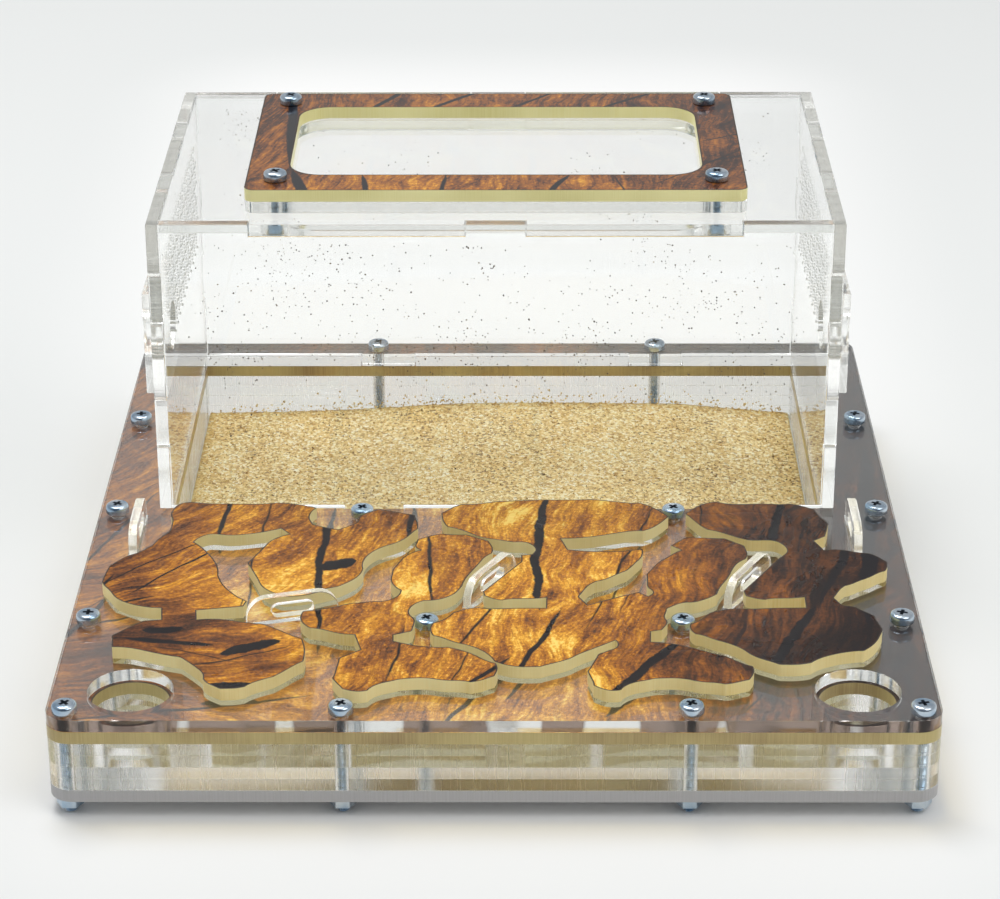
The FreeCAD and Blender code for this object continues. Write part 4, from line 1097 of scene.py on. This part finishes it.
ACROSS, ALONG, UPRIGHT = Vector((1, 0, 0)), Vector((0, 1, 0)), Vector((0, 0, 1))
SHEET_CLEAR = clear_acrylic("nest_clear", (0, 0, 1), 0.3, (0.975, 0.97, 0.95), cut_relief=0.14)
COVER_CLEAR = clear_acrylic("cover_clear", (0, 0, 1), 0.08, (0.96, 0.965, 0.955),
                            mirrored=(0.13, 0.075, 0.055))
FRONT_CLEAR = clear_acrylic("front_wall_clear", (0, 1, 0), 0.1, (0.93, 0.935, 0.915), painted_edge_glow=0.07)
SIDE_CLEAR = clear_acrylic("side_wall_clear", (1, 0, 0), 0.14, (0.93, 0.935, 0.92), painted_edge_glow=0.09)
ROOF_CLEAR = clear_acrylic("roof_clear", (0, 0, 1), 0.1, (0.9, 0.91, 0.89))
FROSTED = frosted_acrylic()
DECOR_PRINTED = printed_acrylic(
    "decor_printed", NEST_PRINT, gloss=0.3, shine=0.3, film=(0.8, 0.7, 0.5),
    edge_tones=((0.22, 0.14, 0.06), (0.46, 0.38, 0.16), (0.62, 0.52, 0.26)))
# The plates' edge tones are lighter than the decor sheet's, in part as painted glow for the light that the
# translucent plates gather at their edges.
PLATE_PRINTED = printed_acrylic(
    "plate_printed", NEST_PRINT, gloss=0.25, shine=0.15, film=(0.88, 0.82, 0.66),
    edge_tones=((0.74, 0.57, 0.22), (0.92, 0.8, 0.42), (0.96, 0.86, 0.56)))
LID_PRINTED = printed_acrylic(
    "lid_printed", LID_PRINT, gloss=0.14, shine=0.32,
    edge_tones=((0.68, 0.62, 0.25), (0.9, 0.84, 0.42), (0.92, 0.88, 0.58)))
ZINC = zinc_steel()
SAND = sand_grain()
SPECK = dark_speck()
# The laser's scorched line along a print, painted shade on the zinc inside a cross recess, and the wall of a
# small hole.
BURNT = soot_and_shade("burnt_line", 1.4, 3.0, (0.012, 0.008, 0.006), (0.055, 0.028, 0.012), 0.35, 0.6,
              soot_and_shade_part=(0.35, 0.7))
ZINC_SHADED = soot_and_shade("shaded_zinc", 3.0, 3.0, (0.035, 0.042, 0.055), (0.13, 0.15, 0.18), 0.35, 0.55, metal=0.6)
VENT_CUT = soot_and_shade("vent_cut", 2.0, 2.0, (0.5, 0.49, 0.46), (0.8, 0.79, 0.76), 0.45, 0.65)


def dress_nest():
    """The bolted stack: frosted base, clear sheets, printed decor sheet and glossy cover."""
    for number in range(1, 5):
        clear_sheet("nest_sheet_%d" % number, "clear_sheet_%d" % number, SHEET_CLEAR, UPRIGHT,
                    broken_edge=0.0)
    clear_sheet("cover_sheet", "glossy_cover", COVER_CLEAR, UPRIGHT)
    clad("base_sheet", FROSTED)
    clad("decor_sheet", DECOR_PRINTED)
    scorched_outline(joined_form("decor_sheet"), "decor_burnt_line", "nest", DECOR_SCORCH, only_round=PORTS)
    screw_set("clamp_screws", "stack_screws", "nest")
    clad("clamp_nuts", ZINC)


def dress_arena():
    """The clear box with its vents and tube plates, the sand and what clings to the walls."""
    for side in ("front", "rear"):
        clear_sheet("arena_%s_wall" % side, "clear_%s_wall" % side, FRONT_CLEAR, ALONG)
    for side in ("left", "right"):
        vented_wall("arena_%s_wall" % side, "vented_%s_wall" % side, SIDE_CLEAR)
    clear_sheet("arena_roof", "clear_roof", ROOF_CLEAR, UPRIGHT)
    for side in ("left", "right"):
        clear_sheet("tube_plate_" + side, "clear_tube_plate_" + side, SIDE_CLEAR, ACROSS)
    make_sand()
    make_specks()


def dress_lid():
    """The printed frame over its clear pane, with its screws and nuts."""
    clear_sheet("lid_pane", "clear_lid_pane", ROOF_CLEAR, UPRIGHT, body="lid")
    clad("lid_ring", LID_PRINTED)
    scorched_outline(joined_form("lid_ring"), "lid_burnt_line", "lid", LID_SCORCH)
    screw_set("lid_screws", "lid_frame_screws", "lid")
    clad("lid_nuts", ZINC)


def dress_gates_and_shades():
    """The clear slide gates and the printed plates that darken the chambers."""
    for node in GATES:
        thin_axis = broad_face_axis(node)
        clear = clear_acrylic(node + "_clear", tuple(thin_axis), 0.22, (1.0, 0.985, 0.93), painted_edge_glow=0.13)
        clear_sheet(node, "clear_" + node, clear, thin_axis, body=node)
    for node in SHADES:
        loose_plate(node)


dress_nest()
dress_arena()
dress_lid()
dress_gates_and_shades()

make_floor()
make_world()
for lamp in LAMPS:
    add_lamp(*lamp)

scene = bpy.context.scene
scene.view_settings.view_transform = "Standard"
scene.cycles.max_bounces = 48
scene.cycles.glossy_bounces = 40
scene.cycles.transmission_bounces = 40
scene.cycles.transparent_max_bounces = 32
